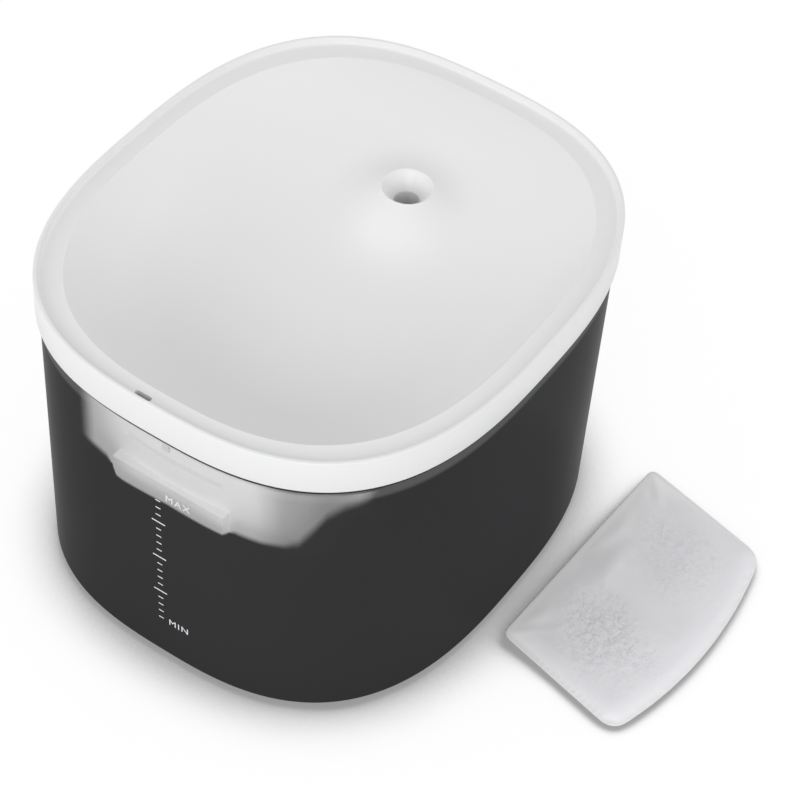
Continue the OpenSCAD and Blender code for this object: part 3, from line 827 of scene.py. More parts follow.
@dataclass
class Tank:
    """The smoked tank and the level scale printed on its front."""

    rim: Rim
    paints: Paints
    wall: float = 0.003
    floor: float = 0.003
    inset: float = 0.0015
    draft: float = 0.001
    edge_radius: float = 0.006
    foot_width: float = 0.0044
    foot_out: float = 0.0012
    groove: float = 0.0012
    band: float = 0.016
    seat_drop: float = 0.0057
    seam: float = 0.0004
    edge_break: float = 0.0004
    # how far the step stays outside the wall's middle, and how far the foot ring's
    # groove lies inside the rounded edge
    step_gap: float = 0.0002
    foot_inset: float = 0.0033
    # the inner foot's radius as a share of the outer one, and the share of the wall
    # from which a point counts as inner
    inner_share: float = 0.8
    inner_from: float = 0.75
    notch_half: float = 0.004
    notch_drop: float = 0.024
    notch_gap: float = 0.001
    notch_margin: float = 0.005
    scale_foot: float = 0.0272
    scale_pitch: float = 0.0043
    scale_count: int = 18
    long_every: int = 5
    first_long: int = 4
    short_tick: Pair = (0.0024, 0.0005)
    long_tick: Pair = (0.0064, 0.0006)
    ink_proud: float = 0.00006
    letter_height: float = 0.0035
    capital_share: float = 0.7
    letter_spacing: float = 1.18
    word_x: float = 0.0036
    low_word_drop: float = 0.0018
    high_word_foot: float = 0.1028

    @property
    def low_inset(self) -> float:
        """Inset of the wall at the foot."""
        return self.inset + self.draft

    @property
    def top(self) -> float:
        """Height of the visible wall's top edge."""
        return self.rim.height - self.band - self.seam

    def rings(self) -> list[np.ndarray]:
        """The skin's rings, from the foot groove up outside and down inside."""
        rim = self.rim
        step = self.inset + self.wall / 2 - self.step_gap
        seat = rim.height - self.seat_drop
        foot = self.low_inset + self.edge_radius + self.foot_inset
        groove_top = self.foot_out + self.groove
        low = self.foot_out + self.edge_radius
        turns = np.linspace(0, math.pi / 2, 13)
        inner = self.edge_radius * self.inner_share
        floor = self.foot_out + self.floor
        wide = self.low_inset + self.wall
        edge = self.edge_break
        return [
            rim.oval(foot + self.foot_width, self.foot_out),
            rim.oval(foot + self.foot_width, groove_top),
            rim.oval(foot, groove_top),
            rim.oval(foot, self.foot_out),
            *[rim.oval(self.low_inset + self.edge_radius * (1 - math.sin(a)),
                       self.foot_out + self.edge_radius * (1 - math.cos(a))) for a in turns],
            *[rim.oval(self.wall_inset(z), z) for z in np.linspace(low, self.top - edge, 8)[1:]],
            rim.oval(self.inset + edge, self.top),
            rim.oval(step, self.top),
            rim.oval(step, seat - edge),
            rim.oval(step + edge, seat),
            rim.oval(self.inset + self.wall, seat),
            *[rim.oval(wide + inner * (1 - math.sin(a)), floor + inner * (1 - math.cos(a)))
              for a in turns[::-1]],
        ]

    def wall_inset(self, z: float) -> float:
        """Inset of the outer wall at a height."""
        low = self.foot_out + self.edge_radius
        share = (z - low) / (self.top - low)
        return self.low_inset - self.draft * share

    def face_point(self, x: float, z: float, proud: float) -> Point:
        """A point on the tank's front face."""
        return (x, self.rim.front_y(x, self.wall_inset(z)) - proud, z)

    def build(self) -> bpy.types.Object:
        """Builds the tank's shell with its rear notch."""
        rim = self.rim
        shell = skin("tank_shell", self.rings(), closed=False)
        back = rim.depth / 2
        foot = rim.height - self.notch_drop - self.notch_gap
        low = (-self.notch_half, back - self.inset - self.wall - self.notch_margin, foot)
        high = (self.notch_half, back + self.notch_margin, rim.height)
        carve(shell, block("notch", low, high), "DIFFERENCE")
        self.mark_inner(shell.data)
        smooth(shell)
        self.paints.coat(shell, Finish.SMOKED)
        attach(shell, "base")
        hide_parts("tank")
        return shell

    def mark_inner(self, mesh: bpy.types.Mesh) -> None:
        """Writes the "inner" attribute: 1 on the wall's inner face."""
        x, y, _ = get_points(mesh).T
        half_x, half_y = self.rim.width / 2, self.rim.depth / 2
        inset = (1 - self.rim.norm(x / half_x, y / half_y, self.rim.square)) * half_x
        write_attribute(mesh, "inner", inset > self.inset + self.wall * self.inner_from)

    def tick_tree(self) -> bpy.types.NodeTree:
        """The Geometry Nodes tree of a row of ticks, every fifth one long."""
        tree = bpy.data.node_groups.new("tick_row", "GeometryNodeTree")
        face = tree.interface
        sockets = [("Count", "NodeSocketInt"), ("Start", "NodeSocketVector"),
                   ("Step", "NodeSocketVector"), ("Short", "NodeSocketVector"),
                   ("Long", "NodeSocketVector"), ("First Long", "NodeSocketInt"),
                   ("Ink", "NodeSocketMaterial")]
        for name, kind in sockets:
            face.new_socket(name, in_out="INPUT", socket_type=kind)
        face.new_socket("Geometry", in_out="OUTPUT", socket_type="NodeSocketGeometry")

        def add(kind: str, settings: Settings = None, inputs: Settings = None) -> bpy.types.Node:
            """Adds a node with its settings and its values or links."""
            made = tree.nodes.new(kind)
            for key, value in (settings or {}).items():
                setattr(made, key, value)
            for key, value in (inputs or {}).items():
                if isinstance(value, bpy.types.NodeSocket):
                    tree.links.new(value, made.inputs[key])
                else:
                    made.inputs[key].default_value = value
            return made

        def math_node(operation: str, *operands: Any) -> bpy.types.NodeSocket:
            """Adds a Math node and returns its result."""
            made = add("ShaderNodeMath", {"operation": operation}, dict(enumerate(operands)))
            return made.outputs[0]

        given = add("NodeGroupInput").outputs
        row = add("GeometryNodeMeshLine", {"mode": "OFFSET"},
                  {"Count": given["Count"], "Start Location": given["Start"],
                   "Offset": given["Step"]})
        index = add("GeometryNodeInputIndex").outputs[0]
        shifted = math_node("SUBTRACT", index, given["First Long"])
        left = math_node("FLOORED_MODULO", shifted, float(self.long_every))
        size = add("GeometryNodeSwitch", {"input_type": "VECTOR"},
                   {"Switch": math_node("LESS_THAN", left, 0.5),
                    "False": given["Short"], "True": given["Long"]})
        stroke = add("GeometryNodeMeshCube", None, {"Size": (1.0, 1.0, 1.0)})
        placed = add("GeometryNodeInstanceOnPoints", None,
                     {"Points": row.outputs["Mesh"], "Instance": stroke.outputs["Mesh"],
                      "Scale": size.outputs[0]})
        real = add("GeometryNodeRealizeInstances", None, {"Geometry": placed.outputs["Instances"]})
        inked = add("GeometryNodeSetMaterial", None,
                    {"Geometry": real.outputs[0], "Material": given["Ink"]})
        add("NodeGroupOutput", None, {"Geometry": inked.outputs[0]})
        return tree

    def ticks(self) -> bpy.types.Object:
        """Makes the level scale's ticks with Geometry Nodes."""
        last = self.scale_foot + self.scale_pitch * (self.scale_count - 1)
        start = Vector(self.face_point(0, self.scale_foot, 0))
        end = Vector(self.face_point(0, last, 0))
        piece = add_mesh("level_scale", [], [])
        step = piece.modifiers.new("ticks", "NODES")
        step.node_group = self.tick_tree()
        short, long = ((wide, 2 * self.ink_proud, high)
                       for wide, high in (self.short_tick, self.long_tick))
        values = {"Count": self.scale_count, "Start": start,
                  "Step": (end - start) / (self.scale_count - 1),
                  "Short": short, "Long": long,
                  "First Long": self.first_long, "Ink": self.paints.of(Finish.INK)}
        for item in step.node_group.interface.items_tree:
            if item.in_out == "INPUT":
                step[item.identifier] = values[item.name]
        settle(piece)
        return piece

    def word(self, text: str, x: float, z: float) -> bpy.types.Object:
        """A short word printed on the front face.

        Args:
            text: The letters.
            x: Its left edge.
            z: Its foot.

        Returns:
            The printed word as a mesh.
        """
        curve = bpy.data.curves.new("word", "FONT")
        curve.body = text
        curve.size = self.letter_height / self.capital_share
        curve.extrude = self.ink_proud
        curve.space_character = self.letter_spacing
        name = f"mark_{text.lower()}"
        holder = add_object(name, curve)
        graph = bpy.context.evaluated_depsgraph_get()
        mesh = bpy.data.meshes.new_from_object(holder.evaluated_get(graph))
        bpy.data.objects.remove(holder)
        piece = add_object(name, mesh)
        for corner in mesh.vertices:
            at_x, at_z, out = x + corner.co.x, z + corner.co.y, corner.co.z
            corner.co = self.face_point(at_x, at_z, out)
        self.paints.coat(piece, Finish.INK)
        return piece

    def dress(self) -> list[bpy.types.Object]:
        """Builds the tank with its printed scale."""
        shell = self.build()
        printed = [self.ticks(),
                   self.word("MIN", self.word_x, self.scale_foot - self.low_word_drop),
                   self.word("MAX", self.word_x, self.high_word_foot)]
        for piece in printed:
            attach(piece, "base")
        return [shell, *printed]


# ---- drinking bowl -----------------------------------------------------------


@dataclass
class Bowl:
    """The white drinking bowl: band, lip, basin and spout dome in one skin."""

    rim: Rim
    paints: Paints
    band: float = 0.016
    lip: float = 0.0013
    lip_round: float = 0.0006
    lip_break: float = 0.0002
    trough: float = 0.0030
    trough_out: float = 0.0017
    trough_round: float = 0.0012
    # places of the rings on the rise from the trough to the basin's line
    trough_shares: tuple[float, ...] = (0.25, 0.5, 0.7, 0.82, 0.91, 0.97, 1.0)
    shoulder: float = 0.0095
    shoulder_square: float = 2.66
    shoulder_fall: float = 0.0025
    deep: float = 0.0458
    shallow: float = 0.0038
    wall_power: float = 5.0
    thick: float = 0.0024
    under_out: float = 0.002
    basin_rings: int = 44
    basin_crowding: float = 1.9
    skirt_out: float = 0.0048
    skirt_thick: float = 0.002
    skirt_reach: float = 0.024
    groove_inset: float = 0.0025
    seat_drop: float = 0.0057
    spout_back: float = 0.063
    crest_drop: float = 0.0137
    crest_radius: float = 0.0108
    crest_round: float = 0.0009
    crest_gap: float = 0.0004
    crest_turn: Pair = (18.0, -44.0)
    dome_radius: float = 0.026
    dome_reach: float = 0.036
    bore_radius: float = 0.0054
    funnel_depth: float = 0.0078
    funnel_power: float = 1.1
    socket_drop: float = 0.0143
    socket_long: float = 0.013
    socket_radius: float = 0.0087
    boss_radius: float = 0.0109
    slot_half: float = 0.022
    slot_high: float = 0.0042
    slot_depth_share: float = 0.41
    slot_foot_bow: float = 0.0024
    slot_top_bow: float = 0.0006
    slot_back: float = 0.021
    slot_through: float = 0.011
    edge_break: float = 0.0005
    edge_middle: float = 0.3
    sharp_degrees: float = 28.0
    lip_slot_from: float = -0.0116
    lip_slot_to: float = -0.0040
    lip_slot_half: float = 0.0011
    lip_slot_in: float = 0.0045
    hanger_half_gap: float = 0.0630
    hanger_wide: float = 0.010
    hanger_thick: float = 0.003
    hanger_y: float = -0.062
    hanger_above_tray: float = 0.004
    hanger_lead: float = 0.0015
    rib_wide: float = 0.003
    rib_gap: float = 0.0004
    rib_down: float = 0.0045
    rib_up: float = 0.006
    notch_half: float = 0.0055
    notch_high: float = 0.0074
    notch_in: float = 0.003
    notch_out: float = 0.0001
    cutter_margin: float = 0.001

    @property
    def line_z(self) -> float:
        """Height of the basin's upper edge."""
        return self.rim.height - self.shoulder_fall

    @property
    def crest_z(self) -> float:
        """Height of the dome's crest."""
        return self.rim.height - self.crest_drop

    @property
    def spout_y(self) -> float:
        """Place of the spout along the depth."""
        return self.rim.depth / 2 - self.spout_back

    def surface_z(self, x: np.ndarray, y: np.ndarray, under: bool) -> np.ndarray:
        """Height of the basin's upper face or underside.

        Args:
            x: Places across.
            y: Places along the depth.
            under: Whether the underside is asked for.

        Returns:
            The heights.
        """
        drop = self.thick if under else 0.0
        inset = self.shoulder - (self.under_out if under else 0.0)
        half_x, half_y = self.rim.width / 2 - inset, self.rim.depth / 2 - inset
        reach = self.rim.norm(x / half_x, y / half_y, self.shoulder_square)
        along = np.sin(math.pi / 2 * (half_y - y) / (2 * half_y))
        depth = self.shallow + (self.deep - self.shallow) * along
        basin = self.line_z - drop - depth * np.maximum(0, 1 - reach**self.wall_power)
        away = np.hypot(x, y - self.spout_y)
        return basin + (self.crest_z - drop - basin) * self.dome_rise(away)

    def dome_rise(self, away: np.ndarray) -> np.ndarray:
        """The dome's share of its height at a distance from the spout's axis."""
        bell = np.maximum(0, 1 - (away / self.dome_reach) ** 2) ** 3
        crest = (1 - (self.crest_radius / self.dome_reach) ** 2) ** 3
        return np.minimum(1, bell / crest)

    def circle(self, radius: float, z: float) -> np.ndarray:
        """A ring round the spout's axis."""
        t = np.linspace(0, 2 * math.pi, self.rim.around, endpoint=False)
        x, y = radius * np.cos(t), self.spout_y + radius * np.sin(t)
        return np.stack([x, y, np.full_like(x, z)], 1)

    def draped(self, ring: np.ndarray, under: bool) -> np.ndarray:
        """A ring with its heights taken from the basin."""
        out = ring.copy()
        out[:, 2] = self.surface_z(ring[:, 0], ring[:, 1], under)
        return out

    def rings(self) -> list[np.ndarray]:
        """The skin's rings, over the top from the band's foot and back underneath."""
        rim = self.rim
        band_z, top = rim.height - self.band, rim.height
        seat, skirt_z = top - self.seat_drop, top - self.skirt_reach
        skirt_in = self.skirt_out + self.skirt_thick
        edge = self.edge_break
        line = rim.oval(self.shoulder, self.line_z, self.shoulder_square)
        foot = self.circle(self.dome_radius, 0)
        inward = np.linspace(0, 1, self.basin_rings)[1:] ** self.basin_crowding
        root = rim.oval(skirt_in, 0)
        socket = self.crest_z - self.socket_drop
        middle = edge * self.edge_middle
        rings = [rim.oval(edge, band_z), rim.oval(middle, band_z + middle),
                 rim.oval(0, band_z + edge)]
        rings += self.lip_rings()
        rings += [self.draped(line + (foot - line) * u, False) for u in inward]
        crest = self.crest_radius + self.crest_gap
        rings += [self.draped(self.circle(r, 0), False)
                  for r in np.linspace(self.dome_radius, crest, 22)[1:]]
        turns = np.radians(np.linspace(*self.crest_turn, 9))
        rings += [self.circle(self.crest_radius + self.crest_round * math.sin(a),
                              self.crest_z - self.crest_round * (1 - math.cos(a))) for a in turns]
        near = self.crest_radius + self.crest_round * math.sin(turns[-1])
        start = self.crest_z - self.crest_round * (1 - math.cos(turns[-1]))
        fall = self.crest_z - self.funnel_depth - start
        rings += [self.circle(near + (self.bore_radius - near) * u,
                              start + fall * u**self.funnel_power)
                  for u in np.linspace(0, 1, 10)[1:]]
        rings += [self.circle(self.bore_radius, socket), self.circle(self.socket_radius, socket),
                  self.circle(self.socket_radius, socket - self.socket_long),
                  self.circle(self.boss_radius, socket - self.socket_long),
                  self.draped(self.circle(self.boss_radius, 0), True)]
        rings += [self.draped(self.circle(r, 0), True)
                  for r in np.linspace(self.boss_radius, self.dome_radius, 8)[1:]]
        rings += [self.draped(root + (foot - root) * u, True) for u in inward[::-1][1::2]]
        rings += [self.draped(root, True), rim.oval(skirt_in, skirt_z),
                  rim.oval(self.skirt_out, skirt_z), rim.oval(self.skirt_out, seat),
                  rim.oval(self.groove_inset, seat), rim.oval(self.groove_inset, band_z)]
        return rings

    def lip_rings(self) -> list[np.ndarray]:
        """Rings over the thin lip, into the trough behind it and up to the basin's line."""
        rim, top, low = self.rim, self.rim.height, self.rim.height - self.trough
        bead, corner, start = self.lip_round, self.trough_round, self.lip + self.trough_out
        quarter = np.linspace(0, math.pi / 2, 6)
        rings = [rim.oval(bead * (1 - math.cos(a)), top - bead * (1 - math.sin(a)))
                 for a in quarter]
        rings += [rim.oval(self.lip + out, top - out) for out in (0.0, self.lip_break)]
        rings += [rim.oval(start - corner * math.cos(a), low + corner * (1 - math.sin(a)))
                  for a in quarter]
        flat = rim.oval(start, low)
        line = rim.oval(self.shoulder, self.line_z, self.shoulder_square)
        for share in self.trough_shares:
            step = flat + (line - flat) * share
            step[:, 2] = low + (self.line_z - low) * share**3
            rings.append(step)
        return rings

    def slot_cutter(self) -> bpy.types.Object:
        """The long low drain slot, curved a little upwards at its ends."""
        low = self.line_z - self.slot_depth_share * self.deep
        high = low + self.slot_high
        steps = np.linspace(-1, 1, 33)
        outline = [(self.slot_half * s, low + self.slot_foot_bow * s * s) for s in steps]
        outline += [(self.slot_half * s, high - self.slot_top_bow * s * s)
                    for s in steps[::-1][1:-1]]
        back = -self.rim.depth / 2 + self.slot_back
        return prism("slot", outline, back - self.slot_through, back)

    def lip_slot(self) -> bpy.types.Object:
        """Cutter of the small round-ended slot just behind the lip."""
        half, y = self.lip_slot_half, -self.rim.depth / 2 + self.lip_slot_in
        near, far = self.lip_slot_to - half, self.lip_slot_from + half
        turns = np.linspace(-math.pi / 2, math.pi / 2, 9)
        outline = [(near + half * math.cos(a), y + half * math.sin(a)) for a in turns]
        outline += [(far - half * math.cos(a), y - half * math.sin(a)) for a in turns]
        low = self.rim.height - self.seat_drop - self.cutter_margin
        high = self.rim.height + self.cutter_margin
        rings = [np.array([(*point, z) for point in outline]) for z in (low, high)]
        return skin("lip_slot", rings, closed=False)

    def hanger(self, side: int) -> bpy.types.Object:
        """One plate under the basin that the tray grips; side is -1 or 1."""
        tray_low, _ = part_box("filter_tray")
        foot, lead = tray_low.z + self.hanger_above_tray, self.hanger_lead
        near, far = self.hanger_half_gap, self.hanger_half_gap + self.hanger_wide
        tops = []
        for x in np.linspace(far, near, 5):
            over = self.surface_z(np.array(x), np.array(self.hanger_y), False)
            under = self.surface_z(np.array(x), np.array(self.hanger_y), True)
            tops.append((x, float(over + under) / 2))
        outline = [(near, foot + lead), (near + lead, foot), (far - lead, foot), (far, foot + lead)]
        outline = [(side * x, z) for x, z in outline + tops]
        half = self.hanger_thick / 2
        return prism("hanger", outline, self.hanger_y - half, self.hanger_y + half)

    def dress(self) -> list[bpy.types.Object]:
        """Builds the bowl with its slot, notch, rib and hangers."""
        rim = self.rim
        shell = skin("bowl_shell", self.rings(), closed=True)
        skirt_z = rim.height - self.skirt_reach
        outside, inside = self.skirt_out, self.skirt_out + self.skirt_thick
        front, back = -rim.depth / 2, rim.depth / 2
        gap, half = self.rib_gap, self.notch_half
        rib = block("rib", (0, front + outside + gap, skirt_z - self.rib_down),
                    (self.rib_wide, front + inside - gap, skirt_z + self.rib_up))
        notch = block("notch",
                      (-half, back - inside - self.notch_in, skirt_z - self.cutter_margin),
                      (half, back - outside + self.notch_out, skirt_z + self.notch_high))
        for solid in (rib, self.hanger(1), self.hanger(-1)):
            carve(shell, solid, "UNION")
        for solid in (self.slot_cutter(), self.lip_slot(), notch):
            carve(shell, solid, "DIFFERENCE")
        smooth(shell, self.sharp_degrees)
        self.paints.coat(shell, Finish.BOWL)
        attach(shell, "bowl")
        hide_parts("drinking_bowl")
        return [shell]


# ---- filter pouches ----------------------------------------------------------


@dataclass
class Pouch:
    """A stuffed non-woven filter: two sheets welded at the rim over two beds of granules.

    Its own place has the straight side along y = 0 and the curved side at y < 0.
    """

    paints: Paints
    long: float = 0.116
    deep: float = 0.072
    high: float = 0.0092
    curve: float = 0.195
    front_corner: float = 0.010
    back_corner: float = 0.004
    weld: float = 0.0022
    rim_z: float = 0.0040
    cloth: float = 0.0005
    swell_cap: float = 0.0022
    swell_room: float = 0.45
    # triangles of the plan: their side, their rows, and how near the rim they come
    grid: float = 0.0017
    row_share: float = 0.87
    rim_share: float = 0.6
    # how much of the front corner is cut, and how much sooner the base reaches the floor
    corner_cut: float = 0.75
    base_sooner: float = 1.25
    # reach of what is held in the simulation and of the welded look, in welds
    held_reach: float = 1.6
    weld_reach: float = 1.5
    # the slope behind the weld: its width, and what the straight side adds, with its step
    slope: float = 0.012
    slope_more: float = 0.014
    straight_step: Pair = (0.030, 0.024)
    # the beds of granules: how deep they lie, half the ridge between them, and their step
    bed_deep: float = 0.0013
    ridge_half: float = 0.010
    bed_step: Pair = (-0.007, 0.014)
    seam_half: float = 0.005
    seam_hold: float = 0.5
    # the cloth simulation
    frames: int = 18
    quality: int = 6
    mass: float = 0.15
    stretch_stiffness: float = 15.0
    shear_stiffness: float = 8.0
    bending_stiffness: float = 1.5
    pressure: float = 3.0
    # the fine relief: lumps and folds, each with its frequency and height; the mix is
    # the share of the coarse lumps, and the frequency and share of the finer ones
    lumps_per_metre: float = 420.0
    lump_high: float = 0.0004
    lump_mix: tuple[float, float, float] = (0.5, 2.1, 0.3)
    folds_per_metre: Pair = (70.0, 110.0)
    fold_high: float = 0.0006
    # where relief, folds and the painted light of the flank set in: an offset, and the width
    # of the step
    upper_step: Pair = (-0.0006, 0.0015)
    fold_step: Pair = (0.022, 0.016)
    flank_light_step: Pair = (0.034, 0.026)
    # places of the granules that show: x, y and how strongly
    spot_places: tuple[Point, ...] = ((-0.029, -0.036, 1.0), (0.027, -0.040, 0.55))
    spot_size: Pair = (0.021, 0.024)
    spot_reach: float = 1.35
    wobble: float = 0.35
    wobble_per_metre: float = 70.0
    wobble_shift: float = 50.0
    spare_at: Point = (0.1086, 0.0362, 0.0)
    spare_turn: float = 88.0
    spare_lean: float = 0.2
    mesh: Optional[bpy.types.Mesh] = field(default=None, repr=False)

    def outline(self) -> np.ndarray:
        """The rim's outline, evenly spaced: straight at y = 0, curved at y < 0."""
        half, turn = self.long / 2, self.curve
        front = -self.deep + turn
        end_y = front - math.sqrt(turn**2 - half**2)

        def bend(a: Pair, corner: Pair, b: Pair) -> list[Pair]:
            """A rounded corner as a quadratic curve."""
            points = []
            for t in np.linspace(0, 1, 9):
                wa, wc, wb = (1 - t) ** 2, 2 * t * (1 - t), t * t
                points.append((wa * a[0] + wc * corner[0] + wb * b[0],
                               wa * a[1] + wc * corner[1] + wb * b[1]))
            return points

        cut, small = self.front_corner * self.corner_cut, self.back_corner
        x1 = half - cut
        curve = [(x, front - math.sqrt(turn**2 - x**2)) for x in np.linspace(-x1, x1, 40)]
        right = bend(curve[-1], (half, end_y), (half, end_y + cut))
        left = bend((-half, end_y + cut), (-half, end_y), curve[0])
        points = curve + right + bend((half, -small), (half, 0), (half - small, 0))
        points += bend((-half + small, 0), (-half, 0), (-half, -small)) + left[:-1]
        closed = np.array(points + points[:1])
        steps = np.hypot(*np.diff(closed, axis=0).T)
        along = np.concatenate([[0], np.cumsum(steps)])
        count = int(along[-1] / self.grid)
        wanted = np.linspace(0, along[-1], count, endpoint=False)
        return np.stack([np.interp(wanted, along, closed[:, i]) for i in (0, 1)], 1)

    def distance(self, points: np.ndarray, outline: np.ndarray) -> np.ndarray:
        """Distance of each point from the rim."""
        a, b = outline, np.roll(outline, -1, axis=0)
        d = b - a
        rel = points[:, None, :] - a[None]
        share = np.clip((rel * d).sum(2) / (d * d).sum(1), 0, 1)
        return np.linalg.norm(rel - share[..., None] * d, axis=2).min(1)

    def plan(self) -> tuple[np.ndarray, list[tuple[int, ...]]]:
        """Triangles over the plan.

        Returns:
            The points and the triangles.
        """
        rim = self.outline()
        rows = np.arange(-self.deep, 0, self.grid * self.row_share)
        inner = np.array([(x + (i % 2) * self.grid / 2, y) for i, y in enumerate(rows)
                          for x in np.arange(-self.long / 2, self.long / 2, self.grid)])
        loop = [Vector(p) for p in rim]
        keep = np.array([p for p in inner if self.inside(p, rim)])
        keep = keep[self.distance(keep, rim) > self.grid * self.rim_share]
        points = loop + [Vector(p) for p in keep]
        edges = [(i, (i + 1) % len(rim)) for i in range(len(rim))]
        made = geometry.delaunay_2d_cdt(points, edges, [list(range(len(rim)))], 1, 1e-6)
        return np.array([tuple(v) for v in made[0]]), [tuple(f) for f in made[2]]

    def inside(self, point: np.ndarray, rim: np.ndarray) -> bool:
        """Whether a point lies inside the outline."""
        x, y = point
        ax, ay = rim[:, 0], rim[:, 1]
        bx, by = np.roll(ax, -1), np.roll(ay, -1)
        cross = ((ay > y) != (by > y)) & (x < (bx - ax) * (y - ay) / (by - ay + 1e-12) + ax)
        return bool(cross.sum() % 2)

    def heights(self, flat: np.ndarray, gap: np.ndarray) -> tuple[np.ndarray, np.ndarray]:
        """Heights of the top and the base sheet before they swell.

        Args:
            flat: Points of the plan.
            gap: Their distance from the rim.

        Returns:
            The top's and the base's heights.
        """
        x, y = flat.T
        straight = step_up(y, self.straight_step)
        rise = np.clip((gap - self.weld) / (self.slope + self.slope_more * straight), 0, 1)
        dome = np.sqrt(1 - (1 - rise) ** 2)
        dome = dome + (np.sin(rise * math.pi / 2) - dome) * straight
        bed = (1 - np.exp(-((x / self.ridge_half) ** 2))) * step_up(gap, self.bed_step)
        crown = self.high - self.swell_cap * self.swell_room - self.rim_z
        top = self.rim_z + self.cloth + crown * dome - self.bed_deep * bed
        sooner = np.clip(rise * self.base_sooner, 0, 1)
        base = self.rim_z * (1 - np.sqrt(1 - (1 - sooner) ** 2))
        return top, base

    def closed_sheet(self) -> bpy.types.Object:
        """Joins the top and base sheets at the rim, with a small thickness there."""
        flat, triangles = self.plan()
        rim = self.outline()
        gap = self.distance(flat, rim)
        top, base = self.heights(flat, gap)
        count = len(flat)
        points = [(x, y, z) for (x, y), z in zip(flat, top)]
        points += [(x, y, z) for (x, y), z in zip(flat, base)]
        faces = []
        edge_use: dict[tuple[int, int], int] = {}
        for tri in triangles:
            a, b, c = tri
            area = (flat[b][0] - flat[a][0]) * (flat[c][1] - flat[a][1])
            area -= (flat[c][0] - flat[a][0]) * (flat[b][1] - flat[a][1])
            up = (a, b, c) if area > 0 else (a, c, b)
            faces.append(up)
            faces.append(tuple(i + count for i in reversed(up)))
            for i, j in zip(up, up[1:] + up[:1]):
                edge_use[(i, j)] = 1
        for i, j in [e for e in edge_use if (e[1], e[0]) not in edge_use]:
            faces.append((j, i, i + count, j + count))
        piece = add_mesh("pouch_master", points, faces)
        group = piece.vertex_groups.new(name="held")
        held = np.concatenate([ease(self.held_reach - gap / self.weld), np.ones(count)])
        seam = np.exp(-((flat[:, 0] / self.seam_half) ** 2)) * self.seam_hold
        held[:count] = np.maximum(held[:count], seam)
        for i, weight in enumerate(held):
            group.add([i], float(weight), "REPLACE")
        return piece

    def swell(self, piece: bpy.types.Object) -> None:
        """Fills the pouch with a cloth simulation, then limits how far it moved."""
        before = get_points(piece.data)
        step = piece.modifiers.new("cloth", "CLOTH")
        cloth = step.settings
        cloth.quality = self.quality
        cloth.mass = self.mass
        cloth.tension_stiffness = cloth.compression_stiffness = self.stretch_stiffness
        cloth.shear_stiffness = self.shear_stiffness
        cloth.bending_stiffness = self.bending_stiffness
        cloth.shrink_min = 0.0
        cloth.use_pressure = True
        cloth.uniform_pressure_force = self.pressure
        cloth.vertex_group_mass = "held"
        cloth.effector_weights.gravity = 0
        step.point_cache.frame_start = 1
        step.point_cache.frame_end = self.frames
        scene = bpy.context.scene
        for frame in range(1, self.frames + 1):
            scene.frame_set(frame)
        settle(piece)
        scene.frame_set(1)
        move = get_points(piece.data) - before
        size = np.linalg.norm(move, axis=1, keepdims=True)
        scale = np.minimum(1, self.swell_cap / np.maximum(size, 1e-9))
        set_points(piece.data, before + move * scale)
        piece.data.update()

    def fill_at(self, x: float, y: float) -> float:
        """How thickly granules show at a place, 0 to 1."""
        most = 0.0
        wide, deep = self.spot_size
        often = self.wobble_per_metre
        for at_x, at_y, weight in self.spot_places:
            away = math.hypot((x - at_x) / wide, (y - at_y) / deep)
            spot = Vector((x * often, y * often, at_x * self.wobble_shift))
            edge = self.spot_reach - away + noise.noise(spot) * self.wobble
            most = max(most, weight * float(ease(edge)))
        return most

    def finish(self, piece: bpy.types.Object) -> bpy.types.Mesh:
        """Adds the granules' fine relief and the attributes that the cloth's finish reads.

        Args:
            piece: The swollen pouch.

        Returns:
            Its mesh, in the filter's own place.
        """
        step = piece.modifiers.new("fine", "SUBSURF")
        step.levels = step.render_levels = 1
        settle(piece)
        mesh = piece.data
        co = get_points(mesh)
        gap = self.distance(co[:, :2], self.outline())
        fill = np.array([self.fill_at(x, y) for x, y, _ in co])
        upper = step_up(co[:, 2] - self.rim_z, self.upper_step)
        across, along = self.folds_per_metre
        coarse, finer, fine = self.lump_mix
        for i, (x, y, _) in enumerate(co):
            spot = Vector((x * self.lumps_per_metre, y * self.lumps_per_metre, 0))
            lump = noise.noise(spot) * coarse + noise.noise(spot * finer) * fine
            fold = noise.noise(Vector((x * across + 5, y * along, 3)))
            fold *= float(step_up(np.array(y), self.fold_step))
            co[i][2] += upper[i] * (self.lump_high * fill[i] * lump + self.fold_high * fold)
        co[:, 2] = np.clip(co[:, 2], 0, self.high)
        set_points(mesh, co)
        write_attribute(mesh, "fill", fill * upper)
        # painted light: the mask of the lighter flank towards the straight side
        write_attribute(mesh, "flank", step_up(co[:, 1], self.flank_light_step))
        write_attribute(mesh, "rim", ease(self.weld_reach - gap / self.weld))
        mesh.update()
        mesh.shade_smooth()
        return mesh

    def shape(self) -> bpy.types.Mesh:
        """The pouch's mesh in its own place, made once."""
        if self.mesh is None:
            piece = self.closed_sheet()
            self.swell(piece)
            self.mesh = self.finish(piece)
            bpy.data.objects.remove(piece)
        return self.mesh

    def put(self, name: str, place: Matrix, body: str, nodes: Sequence[str]) -> bpy.types.Object:
        """Sets one pouch at its place.

        Args:
            name: The piece's name.
            place: Its place in the row frame.
            body: The body that it rides on.
            nodes: The CAD nodes that it stands for.

        Returns:
            The new piece.
        """
        mesh = self.shape().copy()
        mesh.transform(place)
        piece = add_object(name, mesh)
        self.paints.coat(piece, Finish.FLEECE)
        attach(piece, body)
        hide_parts(*nodes)
        return piece

